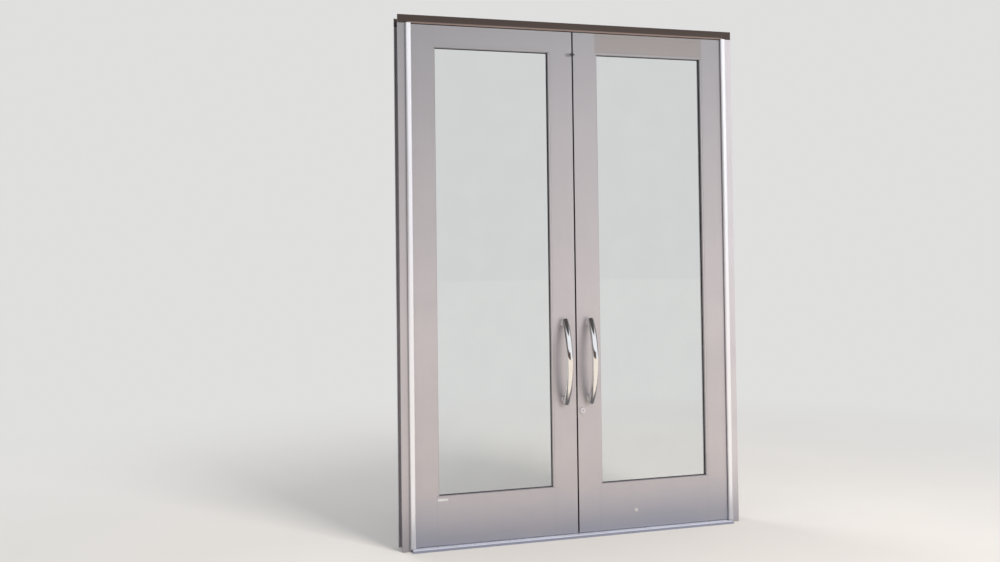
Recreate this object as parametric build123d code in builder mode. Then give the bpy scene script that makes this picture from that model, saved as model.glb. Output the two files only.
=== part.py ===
"""Pair of glazed aluminium doors in their frame, in millimetres.

X runs along the doorway, to the right as seen from the street. Y runs into the building, and
Z is up. The origin is on the floor, midway between the jambs and midway through their depth.
The left leaf is modelled first and the right one is its mirror image, apart from the lock on
the right leaf and the flush bolts on the left one.
"""
import math
import os

from build123d import *

os.makedirs("parts", exist_ok=True)

# Doorway and frame
opening_width = 1828.8
opening_height = 2743.2
jamb_face = 50.8
header_face = 44.45
frame_depth = 114.3
frame_wall = 3.2
frame_lip = 12.0
anchor_hole_radius = 4.5
anchor_inset = 20.0
anchor_count = 2
anchor_end_inset = 300.0

# Gaps round the leaves
hinge_gap = 7.94
meeting_gap = 8.0
top_gap = 4.8
bottom_gap = 6.3
running_clearance = 0.3

# Leaf
leaf_thickness = 44.45
stile_width = 127.0
top_rail_height = 106.4
bottom_rail_height = 244.5
leaf_wall = 3.2

# Glazing
glass_thickness = 6.35
glass_edge_gap = 3.1
bead_height = 11.1
bead_recess = 1.2
bead_wall = 1.5
bead_chamfer = 2.4
gasket_thickness = 2.5
gasket_proud = 1.6
gasket_height = 8.0
setting_block_length = 100.0
setting_block_inset = 130.0

# Threshold
threshold_height = 12.7
threshold_nose = 38.1
threshold_wall = 3.6
threshold_lip = 3.2
threshold_bevel = 16.0
leg_width = 9.0
flute_count = 6
flute_pitch = 9.0
flute_width = 4.0
flute_depth = 1.0
flute_start = 24.0

# Door stops and the bulb seals in them
stop_height = 16.0
stop_depth = 38.0
stop_wall = 2.0
stop_gap = 4.3
seal_slot_width = 3.0
seal_slot_depth = 4.0
seal_bulb_radius = 2.0
seal_inset = 8.0

# Channel clips that carry the header and join the rails to the stiles
clip_length = 60.0
clip_wall = 4.0

# Geared hinge
gear_pitch_radius = 5.8
gear_clearance = 0.2
gear_plain_radius = 6.45
gear_set_forward = 9.0
hinge_plate_thickness = 3.4
hinge_plate_depth = 41.0
hinge_top_gap = 3.0
hinge_bottom_gap = 6.3
tooth_step = 15.0
tooth_root_half = 0.52
tooth_tip_half = 0.26
tooth_height = 0.62
groove_mouth_half = 0.7
groove_floor_half = 0.42
groove_depth = 0.76
mesh_start = 28.0
mesh_end = -83.0
first_tooth = 15.0
last_tooth = -75.0
barrel_flats = 9
cap_clearance = 0.15
cap_wall = 2.0
cap_lip_angle = 150.0
cap_overhang = 2.0
bearing_count = 2
bearing_length = 25.0
bearing_clearance = 0.2
bearing_end_gap = 0.3
bearing_relief = 1.4
bearing_chamfer = 4.9
bearing_inset = 380.0

# Pulls
pull_offset = 68.1
pull_height = 928.0
pull_centres = 406.4
pull_overhang = 20.0
pull_projection = 99.0
pull_end_projection = 27.5
pull_bar_radius = 17.5
pull_runs = 8
pull_post_radius = 14.0
pull_stud_radius = 4.0
hole_clearance = 0.2
push_plate_width = 89.0
push_plate_overlap = 25.0
push_plate_gap = 24.0
push_plate_thickness = 1.6

# Seals on the leaves
sweep_thickness = 4.0
sweep_fin = 1.3
sweep_height = 24.0
sweep_side_gap = 4.0
meeting_seal_width = 6.0
meeting_seal_reach = 4.4
meeting_seal_inset = 2.0
buffer_height = 28.0
buffer_width = 9.0
buffer_reach = 7.0
buffer_drop = 120.0
buffer_inset = 2.0

# Lock in the right leaf
lock_backset = 28.6
plate_thickness = 1.6
plate_width = 25.4
plate_fit = 0.15
lock_plate_length = 168.0
lock_case_depth = 50.0
lock_case_width = 22.0
lock_case_wall = 2.0
lock_case_below = 22.0
lock_case_above = 106.0
lock_bolt_rise = 42.0
lock_bolt_setback = 24.0
lock_bolt_half_width = 11.0
lock_bolt_thickness = 12.7
lock_bolt_throw = 28.0
lock_hook_depth = 5.0
lock_hook_length = 9.0
lock_hook_setback = 9.0
lock_pivot_radius = 3.0
lock_slot_clearance = 1.2
cylinder_radius = 14.6
cylinder_length = 26.0
collar_radius = 18.5
collar_thickness = 5.0
plug_radius = 6.35
plug_clearance = 0.1
plug_proud = 0.6
keyway_width = 2.0
keyway_height = 8.5
keyway_depth = 15.0
spindle_radius = 4.0
turn_length = 38.0
turn_thickness = 7.0
turn_height = 16.0
strike_plate_length = 92.0

# Flush bolts in the left leaf
flush_plate_length = 171.0
flush_plate_inset = 260.0
flush_body_depth = 22.0
flush_body_width = 19.0
flush_body_wall = 2.0
flush_body_length = 110.0
flush_rod_radius = 4.76
flush_rod_setback = 13.0
flush_rod_inset = 1.0
flush_travel = 14.0
flush_hole_radius = 5.6
flush_tab_width = 8.0
flush_tab_height = 20.0

# Places worked out from the sizes above
half_opening = opening_width / 2
frame_front = -frame_depth / 2
frame_back = frame_depth / 2
leaf_front = frame_front
leaf_back = leaf_front + leaf_thickness
leaf_middle = leaf_front + leaf_thickness / 2
leaf_bottom = threshold_height + bottom_gap
leaf_top = opening_height - top_gap
leaf_height = leaf_top - leaf_bottom
hinge_edge = -half_opening + hinge_gap
meeting_edge = -meeting_gap / 2
glazing_left = hinge_edge + stile_width
glazing_right = meeting_edge - stile_width
glazing_bottom = leaf_bottom + bottom_rail_height
glazing_top = leaf_top - top_rail_height
stop_front = leaf_back + stop_gap
stop_reach = half_opening - stop_height
hinge_middle = -half_opening + hinge_gap / 2
gear_spacing = 2 * gear_pitch_radius + gear_clearance
frame_gear_x = hinge_middle - gear_spacing / 2
leaf_gear_x = hinge_middle + gear_spacing / 2
gear_y = frame_front - gear_set_forward
cap_radius = gear_plain_radius + cap_clearance
hinge_bottom = threshold_height + hinge_bottom_gap
hinge_top = opening_height - hinge_top_gap
cap_bottom = hinge_bottom - cap_overhang
cap_top = hinge_top + cap_overhang
pull_middle = leaf_bottom + pull_height
pull_x = meeting_edge - pull_offset
lock_edge = -meeting_edge
lock_x = lock_edge + lock_backset
push_plate_bottom = pull_middle - pull_centres / 2 - push_plate_overlap
lock_z = push_plate_bottom - push_plate_gap - turn_length / 2
bolt_pivot_x = lock_edge + lock_bolt_setback
bolt_pivot_z = lock_z + lock_bolt_rise
bolt_reach = lock_bolt_setback + lock_bolt_throw
bolt_swing = math.hypot(bolt_reach, lock_bolt_half_width)
lock_slot_half_width = lock_bolt_thickness / 2 + lock_slot_clearance


def write(piece, name):
    """Label a finished piece and save it under its own name."""
    piece.label = name
    export_step(piece, f"parts/{name}.step")


def mirrored(piece):
    """The same piece for the other leaf, with each of its solids kept apart."""
    return Compound(children=[mirror(solid, about=Plane.YZ) for solid in piece.solids()])


def write_pair(piece, name):
    """Save a piece of the left side and its mirror image for the right side."""
    write(piece, f"left_{name}")
    write(mirrored(piece), f"right_{name}")


def spread(low, high, count, inset):
    """Evenly spaced places between two ends, the first and last set in by the inset."""
    step = (high - low - 2 * inset) / (count - 1)
    return [low + inset + step * index for index in range(count)]


def tube_section(width, depth, wall):
    """Rectangular tube about the sketch's origin."""
    Rectangle(width, depth)
    Rectangle(width - 2 * wall, depth - 2 * wall, mode=Mode.SUBTRACT)


def box_between(low, high, mode=Mode.ADD):
    """A box given by two opposite corners, in the part being built."""
    sides = [abs(high[axis] - low[axis]) for axis in range(3)]
    middle = [(high[axis] + low[axis]) / 2 for axis in range(3)]
    with Locations(tuple(middle)):
        Box(*sides, mode=mode)


def add_channel(near, inward, front, back, low, high):
    """Channel clip whose web stands at near and whose flanges run inward, low and high."""
    box_between((near, front, low), (near + inward * clip_wall, back, high))
    for bottom in (low, high - clip_wall):
        end = (near + inward * clip_length, back, bottom + clip_wall)
        box_between((near, front, bottom), end)


def drill(at, along, radius, length, mode=Mode.SUBTRACT):
    """A round hole, or a pin with Mode.ADD, that starts at a point and runs along a direction."""
    start = (Align.CENTER, Align.CENTER, Align.MIN)
    with Locations(Plane(origin=at, z_dir=along)):
        Cylinder(radius, length, align=start, mode=mode)


# Frame: jambs, header, clips and threshold
def make_jamb():
    """Jamb section, open towards the wall between two lips, with holes for its wall anchors."""
    with BuildPart() as jamb:
        with BuildSketch(Plane(origin=(-half_opening - jamb_face / 2, 0, 0))):
            tube_section(jamb_face, frame_depth, frame_wall)
            with Locations(((frame_wall - jamb_face) / 2, 0)):
                Rectangle(frame_wall, frame_depth - 2 * frame_lip, mode=Mode.SUBTRACT)
        jamb_height = opening_height + header_face
        extrude(amount=jamb_height)
        for height in spread(0, jamb_height, anchor_count, anchor_end_inset):
            start = (-half_opening, frame_back - anchor_inset, height)
            drill(start, (-1, 0, 0), anchor_hole_radius, frame_wall)
    return jamb.part


def make_header():
    """Hollow header between the jambs, with the hole that the top flush bolt enters."""
    middle = (-half_opening, 0, opening_height + header_face / 2)
    with BuildPart() as header:
        with BuildSketch(Plane(origin=middle, x_dir=(0, 1, 0), z_dir=(1, 0, 0))):
            tube_section(frame_depth, header_face, frame_wall)
        extrude(amount=opening_width)
        start = (meeting_edge - flush_rod_setback, leaf_middle, opening_height)
        drill(start, (0, 0, 1), flush_hole_radius, frame_wall)
    return header.part


def make_header_clips():
    """Channel inside each end of the header, fastened to the jamb."""
    front, back = frame_front + frame_wall, frame_back - frame_wall
    low, high = opening_height + frame_wall, opening_height + header_face - frame_wall
    with BuildPart() as clips:
        for end, inward in ((-half_opening, 1), (half_opening, -1)):
            add_channel(end, inward, front, back, low, high)
    return clips.part


def make_threshold():
    """Fluted saddle threshold on legs, bevelled to the front and the back."""
    front, back = frame_front - threshold_nose, frame_back
    shoulder_front, shoulder_back = front + threshold_bevel, back - threshold_bevel
    under = threshold_height - threshold_wall
    with BuildPart() as threshold:
        with BuildSketch(Plane(origin=(-half_opening, 0, 0), x_dir=(0, 1, 0), z_dir=(1, 0, 0))):
            with BuildLine():
                Polyline(
                    (front, 0),
                    (front, threshold_lip),
                    (shoulder_front, threshold_height),
                    (shoulder_back, threshold_height),
                    (back, threshold_lip),
                    (back, 0),
                    close=True,
                )
            make_face()
            legs = (front + threshold_bevel, -leg_width / 2, back - threshold_bevel - leg_width)
            for leg, following in zip(legs, legs[1:]):
                hollow = following - leg - leg_width
                with Locations((leg + leg_width + hollow / 2, under / 2)):
                    Rectangle(hollow, under, mode=Mode.SUBTRACT)
            for index in range(flute_count):
                place = front + flute_start + index * flute_pitch
                with Locations((place, threshold_height - flute_depth / 2)):
                    Rectangle(flute_width, flute_depth, mode=Mode.SUBTRACT)
        extrude(amount=opening_width)
        bolt_x = meeting_edge - flush_rod_setback
        drill((bolt_x, leaf_middle, under), (0, 0, 1), flush_hole_radius, threshold_wall)
    return threshold.part


# Door stops with their bulb seals
def stop_outline():
    """Section of a stop: a hollow snap-in bar with a slot for its seal, open towards the leaf.

    The sketch's first axis runs away from the frame and the second one into the building.
    """
    with Locations((stop_height / 2, stop_front + stop_depth / 2)):
        Rectangle(stop_height, stop_depth)
        hollow = stop_depth - seal_slot_depth - 2 * stop_wall
        with Locations((0, seal_slot_depth / 2)):
            Rectangle(stop_height - 2 * stop_wall, hollow, mode=Mode.SUBTRACT)
    with Locations((seal_inset, stop_front + seal_slot_depth / 2)):
        Rectangle(seal_slot_width, seal_slot_depth, mode=Mode.SUBTRACT)


def seal_outline():
    """Section of the bulb seal, on the same axes as the stop's."""
    with Locations((seal_inset, stop_front - seal_bulb_radius)):
        Circle(seal_bulb_radius)
    reach = seal_slot_depth + seal_bulb_radius
    with Locations((seal_inset, stop_front - seal_bulb_radius + reach / 2)):
        Rectangle(seal_slot_width, reach)


def make_jamb_strip(outline):
    """A stop or its seal, standing on the threshold against the left jamb."""
    with BuildPart() as strip:
        with BuildSketch(Plane(origin=(-half_opening, 0, threshold_height))):
            outline()
        extrude(amount=opening_height - stop_height - threshold_height)
    return strip.part


def make_head_strip(outline):
    """A stop or its seal, under the header from jamb to jamb."""
    start = (-half_opening, 0, opening_height)
    with BuildPart() as strip:
        with BuildSketch(Plane(origin=start, x_dir=(0, 0, -1), z_dir=(1, 0, 0))):
            outline()
        extrude(amount=opening_width)
    return strip.part


# Geared hinge: two meshing gears held together by a cap, with bearings let into them
def polar(radius, angle):
    """A point about a gear's centre: 0 points at the other gear, positive into the building."""
    turn = math.radians(angle)
    return radius * math.cos(turn), radius * math.sin(turn)


def feature_points(angle, half_at_pitch, radius_beyond, half_beyond):
    """Four corners of one tooth or groove, from the building's side to the street's."""
    at_pitch = math.degrees(half_at_pitch / gear_pitch_radius)
    beyond = math.degrees(half_beyond / radius_beyond)
    return [
        polar(gear_pitch_radius, angle + at_pitch),
        polar(radius_beyond, angle + beyond),
        polar(radius_beyond, angle - beyond),
        polar(gear_pitch_radius, angle - at_pitch),
    ]


def gear_points(tooth_leads):
    """Corners of a gear: its teeth and grooves take turns, and flats close it round the back."""
    points = [polar(gear_plain_radius, mesh_start), polar(gear_pitch_radius, mesh_start)]
    steps = round((first_tooth - last_tooth) / tooth_step)
    for step in range(steps + 1):
        angle = first_tooth - step * tooth_step
        if (step % 2 == 0) == tooth_leads:
            tip = gear_pitch_radius + tooth_height
            points += feature_points(angle, tooth_root_half, tip, tooth_tip_half)
        else:
            floor = gear_pitch_radius - groove_depth
            points += feature_points(angle, groove_mouth_half, floor, groove_floor_half)
    points.append(polar(gear_pitch_radius, mesh_end))
    turn = (mesh_start - mesh_end - 360) / barrel_flats
    points += [polar(gear_plain_radius, mesh_end + turn * step) for step in range(barrel_flats)]
    return points


def make_gear(centre_x, toward, tooth_leads):
    """One half of the hinge: its toothed barrel, the plate behind it and the bearing reliefs.

    The direction toward is that of the other gear, 1 or -1 along X.
    """
    outline = [(centre_x + toward * u, gear_y + v) for u, v in gear_points(tooth_leads)]
    face_x = centre_x + toward * (gear_spacing - hinge_gap) / 2
    plate_x = face_x + toward * hinge_plate_thickness
    plate_back = frame_front + hinge_plate_depth
    with BuildPart() as gear:
        with BuildSketch(Plane.XY.offset(hinge_bottom)):
            with BuildLine():
                Polyline(*outline, close=True)
            make_face()
        extrude(amount=hinge_top - hinge_bottom)
        neck = gear_y + gear_plain_radius / 2
        box_between((face_x, neck, hinge_bottom), (plate_x, plate_back, hinge_top))
        relief = gear_plain_radius + bearing_relief
        for height in bearing_heights():
            low = (centre_x - relief, gear_y - relief, height - bearing_length / 2)
            high = (centre_x + relief, gear_y + relief, height + bearing_length / 2)
            box_between(low, high, Mode.SUBTRACT)
    return gear.part


def bearing_heights():
    """Heights of the bearings' middles."""
    return spread(hinge_bottom, hinge_top, bearing_count, bearing_inset)


def make_hinge_cap():
    """Channel that wraps both gears from the street side and keeps them in mesh."""
    centre = (hinge_middle, gear_y)
    outer = cap_radius + cap_wall
    reach = 2 * outer
    lip = polar(reach, 180 - cap_lip_angle)
    half = gear_spacing / 2
    with BuildPart() as cap:
        with BuildSketch(Plane.XY.offset(cap_bottom)):
            with Locations(centre):
                SlotCenterToCenter(gear_spacing, 2 * outer)
                SlotCenterToCenter(gear_spacing, 2 * cap_radius, mode=Mode.SUBTRACT)
                Polygon(
                    (-half, 0),
                    (half, 0),
                    (half + lip[0], lip[1]),
                    (-half - lip[0], lip[1]),
                    align=None,
                    mode=Mode.SUBTRACT,
                )
        extrude(amount=cap_top - cap_bottom)
    return cap.part


def make_bearings():
    """Acetal blocks that carry the leaf's weight between the two halves of the hinge."""
    with BuildPart() as bearings:
        for height in bearing_heights():
            bottom = height - bearing_length / 2 + bearing_end_gap
            radius = cap_radius - bearing_clearance
            with BuildSketch(Plane.XY.offset(bottom)) as outline:
                with Locations((hinge_middle, gear_y)):
                    Rectangle(gear_spacing + 2 * radius, 2 * radius)
                chamfer(outline.vertices(), bearing_chamfer)
            extrude(amount=bearing_length - 2 * bearing_end_gap)
    return bearings.part


# Leaf: stiles, rails and the clips that join them
def make_stile_tube(outer_edge, inward):
    """Tube of a stile from its outer edge towards the pane."""
    middle = (outer_edge + inward * stile_width / 2, leaf_middle, leaf_bottom)
    with BuildPart() as tube:
        with BuildSketch(Plane(origin=middle)):
            tube_section(stile_width, leaf_thickness, leaf_wall)
        extrude(amount=leaf_height)
    return tube.part


def cut_pull_holes(x):
    """Holes of the pull's studs, through both faces of the stile."""
    for height in pull_ends():
        start = (x, leaf_front, height)
        drill(start, (0, 1, 0), pull_stud_radius + hole_clearance, leaf_thickness)


def cut_recess(edge, inward, low, high):
    """Shallow recess that a face plate lies in, flush with the stile's edge."""
    half = plate_width / 2 + plate_fit
    box_between(
        (edge, leaf_middle - half, low - plate_fit),
        (edge + inward * plate_thickness, leaf_middle + half, high + plate_fit),
        Mode.SUBTRACT,
    )


def cut_opening(edge, inward, half_width, low, high):
    """Opening through the wall of the stile's edge."""
    box_between(
        (edge, leaf_middle - half_width, low),
        (edge + inward * leaf_wall, leaf_middle + half_width, high),
        Mode.SUBTRACT,
    )


def make_hinge_stile():
    """Stile that carries the hinge."""
    return make_stile_tube(hinge_edge, 1)


def make_left_meeting_stile():
    """Meeting stile of the left leaf, cut for the strike plate and both flush bolts."""
    with BuildPart() as stile:
        add(make_stile_tube(meeting_edge, -1))
        cut_pull_holes(pull_x)
        cut_recess(meeting_edge, -1, *strike_plate_span())
        low, high = strike_slot_span()
        cut_opening(meeting_edge, -1, lock_slot_half_width, low, high)
        for up in (-1, 1):
            middle = flush_plate_middle(up)
            half_plate, half_body = flush_plate_length / 2, flush_body_length / 2 + plate_fit
            cut_recess(meeting_edge, -1, middle - half_plate, middle + half_plate)
            half_width = flush_body_width / 2 + plate_fit
            cut_opening(meeting_edge, -1, half_width, middle - half_body, middle + half_body)
    return stile.part


def make_right_meeting_stile():
    """Meeting stile of the right leaf, cut for the lock, its cylinder and its thumbturn."""
    with BuildPart() as stile:
        add(make_stile_tube(lock_edge, 1))
        cut_pull_holes(-pull_x)
        cut_recess(lock_edge, 1, *lock_plate_span())
        low, high = lock_case_span()
        half_width = lock_case_width / 2 + plate_fit
        cut_opening(lock_edge, 1, half_width, low - plate_fit, high + plate_fit)
        front = (lock_x, leaf_front, lock_z)
        drill(front, (0, 1, 0), cylinder_radius + hole_clearance, leaf_wall)
        back = (lock_x, leaf_back, lock_z)
        drill(back, (0, -1, 0), spindle_radius + running_clearance, leaf_wall)
    return stile.part


def make_rail(bottom, height):
    """Hollow rail between the stiles."""
    start = (glazing_left, leaf_middle, bottom + height / 2)
    with BuildPart() as rail:
        with BuildSketch(Plane(origin=start, x_dir=(0, 1, 0), z_dir=(1, 0, 0))):
            tube_section(leaf_thickness, height, leaf_wall)
        extrude(amount=glazing_right - glazing_left)
    return rail.part


def make_corner_clips():
    """Channel inside each end of both rails, welded to the stile there."""
    front, back = leaf_front + leaf_wall, leaf_back - leaf_wall
    with BuildPart() as clips:
        for bottom, top in ((leaf_bottom, glazing_bottom), (glazing_top, leaf_top)):
            for end, inward in ((glazing_left, 1), (glazing_right, -1)):
                add_channel(end, inward, front, back, bottom + leaf_wall, top - leaf_wall)
    return clips.part


# Glazing: pane, gaskets, beads and setting blocks
def make_glass():
    """Single pane, held clear of the frame of the leaf by its setting blocks."""
    half = glass_thickness / 2
    with BuildPart() as glass:
        box_between(
            (glazing_left + glass_edge_gap, leaf_middle - half, glazing_bottom + glass_edge_gap),
            (glazing_right - glass_edge_gap, leaf_middle + half, glazing_top - glass_edge_gap),
        )
    return glass.part


def make_setting_blocks():
    """Two blocks that carry the pane on the bottom rail."""
    half = glass_thickness / 2
    with BuildPart() as blocks:
        for start in (
            glazing_left + setting_block_inset,
            glazing_right - setting_block_inset - setting_block_length,
        ):
            box_between(
                (start, leaf_middle - half, glazing_bottom),
                (start + setting_block_length, leaf_middle + half, glazing_bottom + glass_edge_gap),
            )
    return blocks.part


def bead_section(wall, away, face, inward):
    """Section of a hollow snap-in bead: wall and face are its two outer planes.

    The bead stands off the wall in the direction away, and runs from its exposed face
    inward to the gasket. Its corner beside the pane is chamfered.
    """
    depth = leaf_thickness / 2 - glass_thickness / 2 - gasket_thickness - bead_recess
    flat = bead_height - bead_chamfer
    outline = ((0, 0), (flat, 0), (bead_height, bead_chamfer), (bead_height, depth), (0, depth))
    Polygon(*[(wall + away * u, face + inward * v) for u, v in outline], align=None)
    with Locations((wall + away * bead_height / 2, face + inward * depth / 2)):
        Rectangle(bead_height - 2 * bead_wall, depth - 2 * bead_wall, mode=Mode.SUBTRACT)


def make_bead(plane, wall, away, face, inward, length):
    """One bead, extruded along its own plane's normal."""
    with BuildPart() as bead:
        with BuildSketch(plane):
            bead_section(wall, away, face, inward)
        extrude(amount=length)
    return bead.part


def make_beads():
    """Eight beads, four round each face of the pane; the upright ones fit between the others."""
    upright = Plane.XY.offset(glazing_bottom + bead_height)
    level = Plane(origin=(glazing_right, 0, 0), x_dir=(0, 0, 1), z_dir=(-1, 0, 0))
    height = glazing_top - glazing_bottom - 2 * bead_height
    width = glazing_right - glazing_left
    beads = []
    for face, inward in ((leaf_front + bead_recess, 1), (leaf_back - bead_recess, -1)):
        for wall, away in ((glazing_left, 1), (glazing_right, -1)):
            beads.append(make_bead(upright, wall, away, face, inward, height))
        for wall, away in ((glazing_bottom, 1), (glazing_top, -1)):
            beads.append(make_bead(level, wall, away, face, inward, width))
    return Compound(children=beads)


def make_gaskets():
    """Black gaskets between the beads and the pane, one ring on each face."""
    middle_x, middle_z = (glazing_left + glazing_right) / 2, (glazing_bottom + glazing_top) / 2
    inner_inset = bead_height + gasket_proud
    outer_inset = inner_inset - gasket_height
    wide, high = glazing_right - glazing_left, glazing_top - glazing_bottom
    with BuildPart() as gaskets:
        for outward in (-1, 1):
            glass_face = leaf_middle + outward * glass_thickness / 2
            plane = Plane(
                origin=(middle_x, glass_face, middle_z), x_dir=(1, 0, 0), z_dir=(0, outward, 0)
            )
            with BuildSketch(plane):
                Rectangle(wide - 2 * outer_inset, high - 2 * outer_inset)
                Rectangle(wide - 2 * inner_inset, high - 2 * inner_inset, mode=Mode.SUBTRACT)
            extrude(amount=gasket_thickness)
    return gaskets.part


# Pulls
def pull_ends():
    """Heights of the two posts of a pull."""
    return [pull_middle - pull_centres / 2, pull_middle + pull_centres / 2]


def make_pull():
    """Round bar bowed away from the street face, bent in short runs, on two posts.

    The bar runs on past the posts, where it is cut square. A stud behind each post passes
    through the stile.
    """
    half = pull_centres / 2 + pull_overhang
    rise = pull_projection - pull_end_projection
    radius = (half**2 + rise**2) / (2 * rise)
    reach = math.asin(half / radius)
    centre_y = leaf_front - pull_projection + radius
    turns = [reach * (2 * step / pull_runs - 1) for step in range(pull_runs + 1)]
    points = [
        (pull_x, centre_y - radius * math.cos(turn), pull_middle + radius * math.sin(turn))
        for turn in turns
    ]
    post_length = leaf_front - centre_y + math.sqrt(radius**2 - (pull_centres / 2) ** 2)
    with BuildPart() as pull:
        with BuildLine() as path:
            Polyline(*points)
        with BuildSketch(Plane(origin=path.line @ 0, z_dir=path.line % 0)):
            Circle(pull_bar_radius)
        sweep(transition=Transition.RIGHT)
        for height in pull_ends():
            start = (pull_x, leaf_front, height)
            drill(start, (0, -1, 0), pull_post_radius, post_length, Mode.ADD)
            drill(start, (0, 1, 0), pull_stud_radius, leaf_thickness, Mode.ADD)
    return pull.part


def make_push_plate():
    """Plate on the inside of the stile, over the ends of the pull's studs."""
    top = pull_ends()[-1] + push_plate_overlap
    half = push_plate_width / 2
    with BuildPart() as plate:
        box_between(
            (pull_x - half, leaf_back, push_plate_bottom),
            (pull_x + half, leaf_back + push_plate_thickness, top),
        )
    return plate.part


# Seals on the leaves
def make_bottom_sweep():
    """Vinyl sweep on the inside of the bottom rail, whose fin hangs just over the threshold."""
    start = (-stop_reach + sweep_side_gap, 0, 0)
    top = leaf_bottom + sweep_height
    with BuildPart() as strip:
        with BuildSketch(Plane(origin=start, x_dir=(0, 1, 0), z_dir=(1, 0, 0))):
            with BuildLine():
                Polyline(
                    (leaf_back, leaf_bottom),
                    (leaf_back, top),
                    (leaf_back + sweep_fin, top),
                    (leaf_back + sweep_thickness, top - sweep_thickness),
                    (leaf_back + sweep_thickness, leaf_bottom),
                    (leaf_back + 2 * sweep_fin, threshold_height + running_clearance),
                    (leaf_back + sweep_fin, threshold_height + running_clearance),
                    close=True,
                )
            make_face()
        extrude(amount=meeting_edge - start[0] - sweep_side_gap)
    return strip.part


def make_meeting_seals():
    """Pile strip down the left leaf's meeting edge, and the rubber buffer near its top."""
    with BuildPart() as seals:
        back = leaf_back - meeting_seal_inset
        box_between(
            (meeting_edge, back - meeting_seal_width, leaf_bottom),
            (meeting_edge + meeting_seal_reach, back, leaf_top),
        )
        front = leaf_front + buffer_inset
        middle = leaf_top - buffer_drop
        box_between(
            (meeting_edge, front, middle - buffer_height / 2),
            (meeting_edge + buffer_reach, front + buffer_width, middle + buffer_height / 2),
        )
    return seals.part


# Lock in the right leaf and its strike in the left one
def strike_slot_span():
    """Lowest and highest point of the slot that the swinging bolt enters."""
    rise = math.sqrt(bolt_swing**2 - (lock_bolt_setback + meeting_gap) ** 2)
    return (
        bolt_pivot_z - lock_bolt_half_width - lock_slot_clearance,
        bolt_pivot_z + rise + lock_slot_clearance,
    )


def strike_plate_span():
    """Ends of the strike plate, which is centred on its slot."""
    middle = sum(strike_slot_span()) / 2
    return middle - strike_plate_length / 2, middle + strike_plate_length / 2


def lock_slot_span():
    """Lowest and highest point of the slot in the lock's own face plate."""
    rise = math.sqrt(bolt_swing**2 - (lock_bolt_setback - leaf_wall) ** 2)
    return (
        bolt_pivot_z - lock_bolt_half_width - lock_slot_clearance,
        bolt_pivot_z + rise + lock_slot_clearance,
    )


def lock_case_span():
    """Bottom and top of the lock case."""
    return lock_z - lock_case_below, lock_z + lock_case_above


def lock_plate_span():
    """Ends of the lock's face plate, which is centred on its case."""
    middle = sum(lock_case_span()) / 2
    return middle - lock_plate_length / 2, middle + lock_plate_length / 2


def add_plate(edge, inward, low, high):
    """Face plate that lies in its recess in the stile's edge."""
    half = plate_width / 2
    box_between(
        (edge, leaf_middle - half, low),
        (edge + inward * plate_thickness, leaf_middle + half, high),
    )


def make_strike_plate():
    """Plate in the left leaf's edge with the slot for the hook bolt."""
    low, high = strike_slot_span()
    with BuildPart() as plate:
        add_plate(meeting_edge, -1, *strike_plate_span())
        cut_opening(meeting_edge, -1, lock_slot_half_width, low, high)
    return plate.part


def make_lock_case():
    """Hollow case of the lock behind its face plate, with the pin that the bolt turns on."""
    low, high = lock_case_span()
    slot_low, slot_high = lock_slot_span()
    half, wall = lock_case_width / 2, lock_case_wall
    inner = lock_edge + plate_thickness
    outer = lock_edge + lock_case_depth
    with BuildPart() as case:
        add_plate(lock_edge, 1, *lock_plate_span())
        box_between((inner, leaf_middle - half, low), (outer, leaf_middle + half, high))
        box_between(
            (inner, leaf_middle - half + wall, low + wall),
            (outer - wall, leaf_middle + half - wall, high - wall),
            Mode.SUBTRACT,
        )
        cut_opening(lock_edge, 1, lock_slot_half_width, slot_low, slot_high)
        front = (lock_x, leaf_middle - half, lock_z)
        drill(front, (0, 1, 0), cylinder_radius + hole_clearance, wall)
        back = (lock_x, leaf_middle + half, lock_z)
        drill(back, (0, -1, 0), spindle_radius + running_clearance, wall)
        pin = (bolt_pivot_x, leaf_middle - half + wall, bolt_pivot_z)
        drill(pin, (0, 1, 0), lock_pivot_radius, lock_case_width - 2 * wall, Mode.ADD)
    return case.part


def make_lock_bolt():
    """Pivoted bolt that stands upright when drawn back and has a hook near its tip."""
    plane = Plane(
        origin=(bolt_pivot_x, leaf_middle - lock_bolt_thickness / 2, bolt_pivot_z),
        x_dir=(1, 0, 0),
        z_dir=(0, -1, 0),
    )
    hook_middle = bolt_reach - lock_hook_setback - lock_hook_length / 2
    with BuildPart() as bolt:
        with BuildSketch(plane):
            Circle(lock_bolt_half_width)
            with Locations((0, bolt_reach / 2)):
                Rectangle(2 * lock_bolt_half_width, bolt_reach)
            with Locations((lock_bolt_half_width - lock_hook_depth / 2, hook_middle)):
                Rectangle(lock_hook_depth, lock_hook_length, mode=Mode.SUBTRACT)
            Circle(lock_pivot_radius + running_clearance, mode=Mode.SUBTRACT)
        extrude(amount=-lock_bolt_thickness)
    return bolt.part


def make_lock_cylinder():
    """Key cylinder with its collar on the street side of the stile."""
    face = (lock_x, leaf_front, lock_z)
    bore_start = (lock_x, leaf_front - collar_thickness, lock_z)
    with BuildPart() as cylinder:
        drill(face, (0, -1, 0), collar_radius, collar_thickness, Mode.ADD)
        drill(face, (0, 1, 0), cylinder_radius, cylinder_length, Mode.ADD)
        bore = plug_radius + plug_clearance
        drill(bore_start, (0, 1, 0), bore, collar_thickness + cylinder_length)
    return cylinder.part


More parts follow.
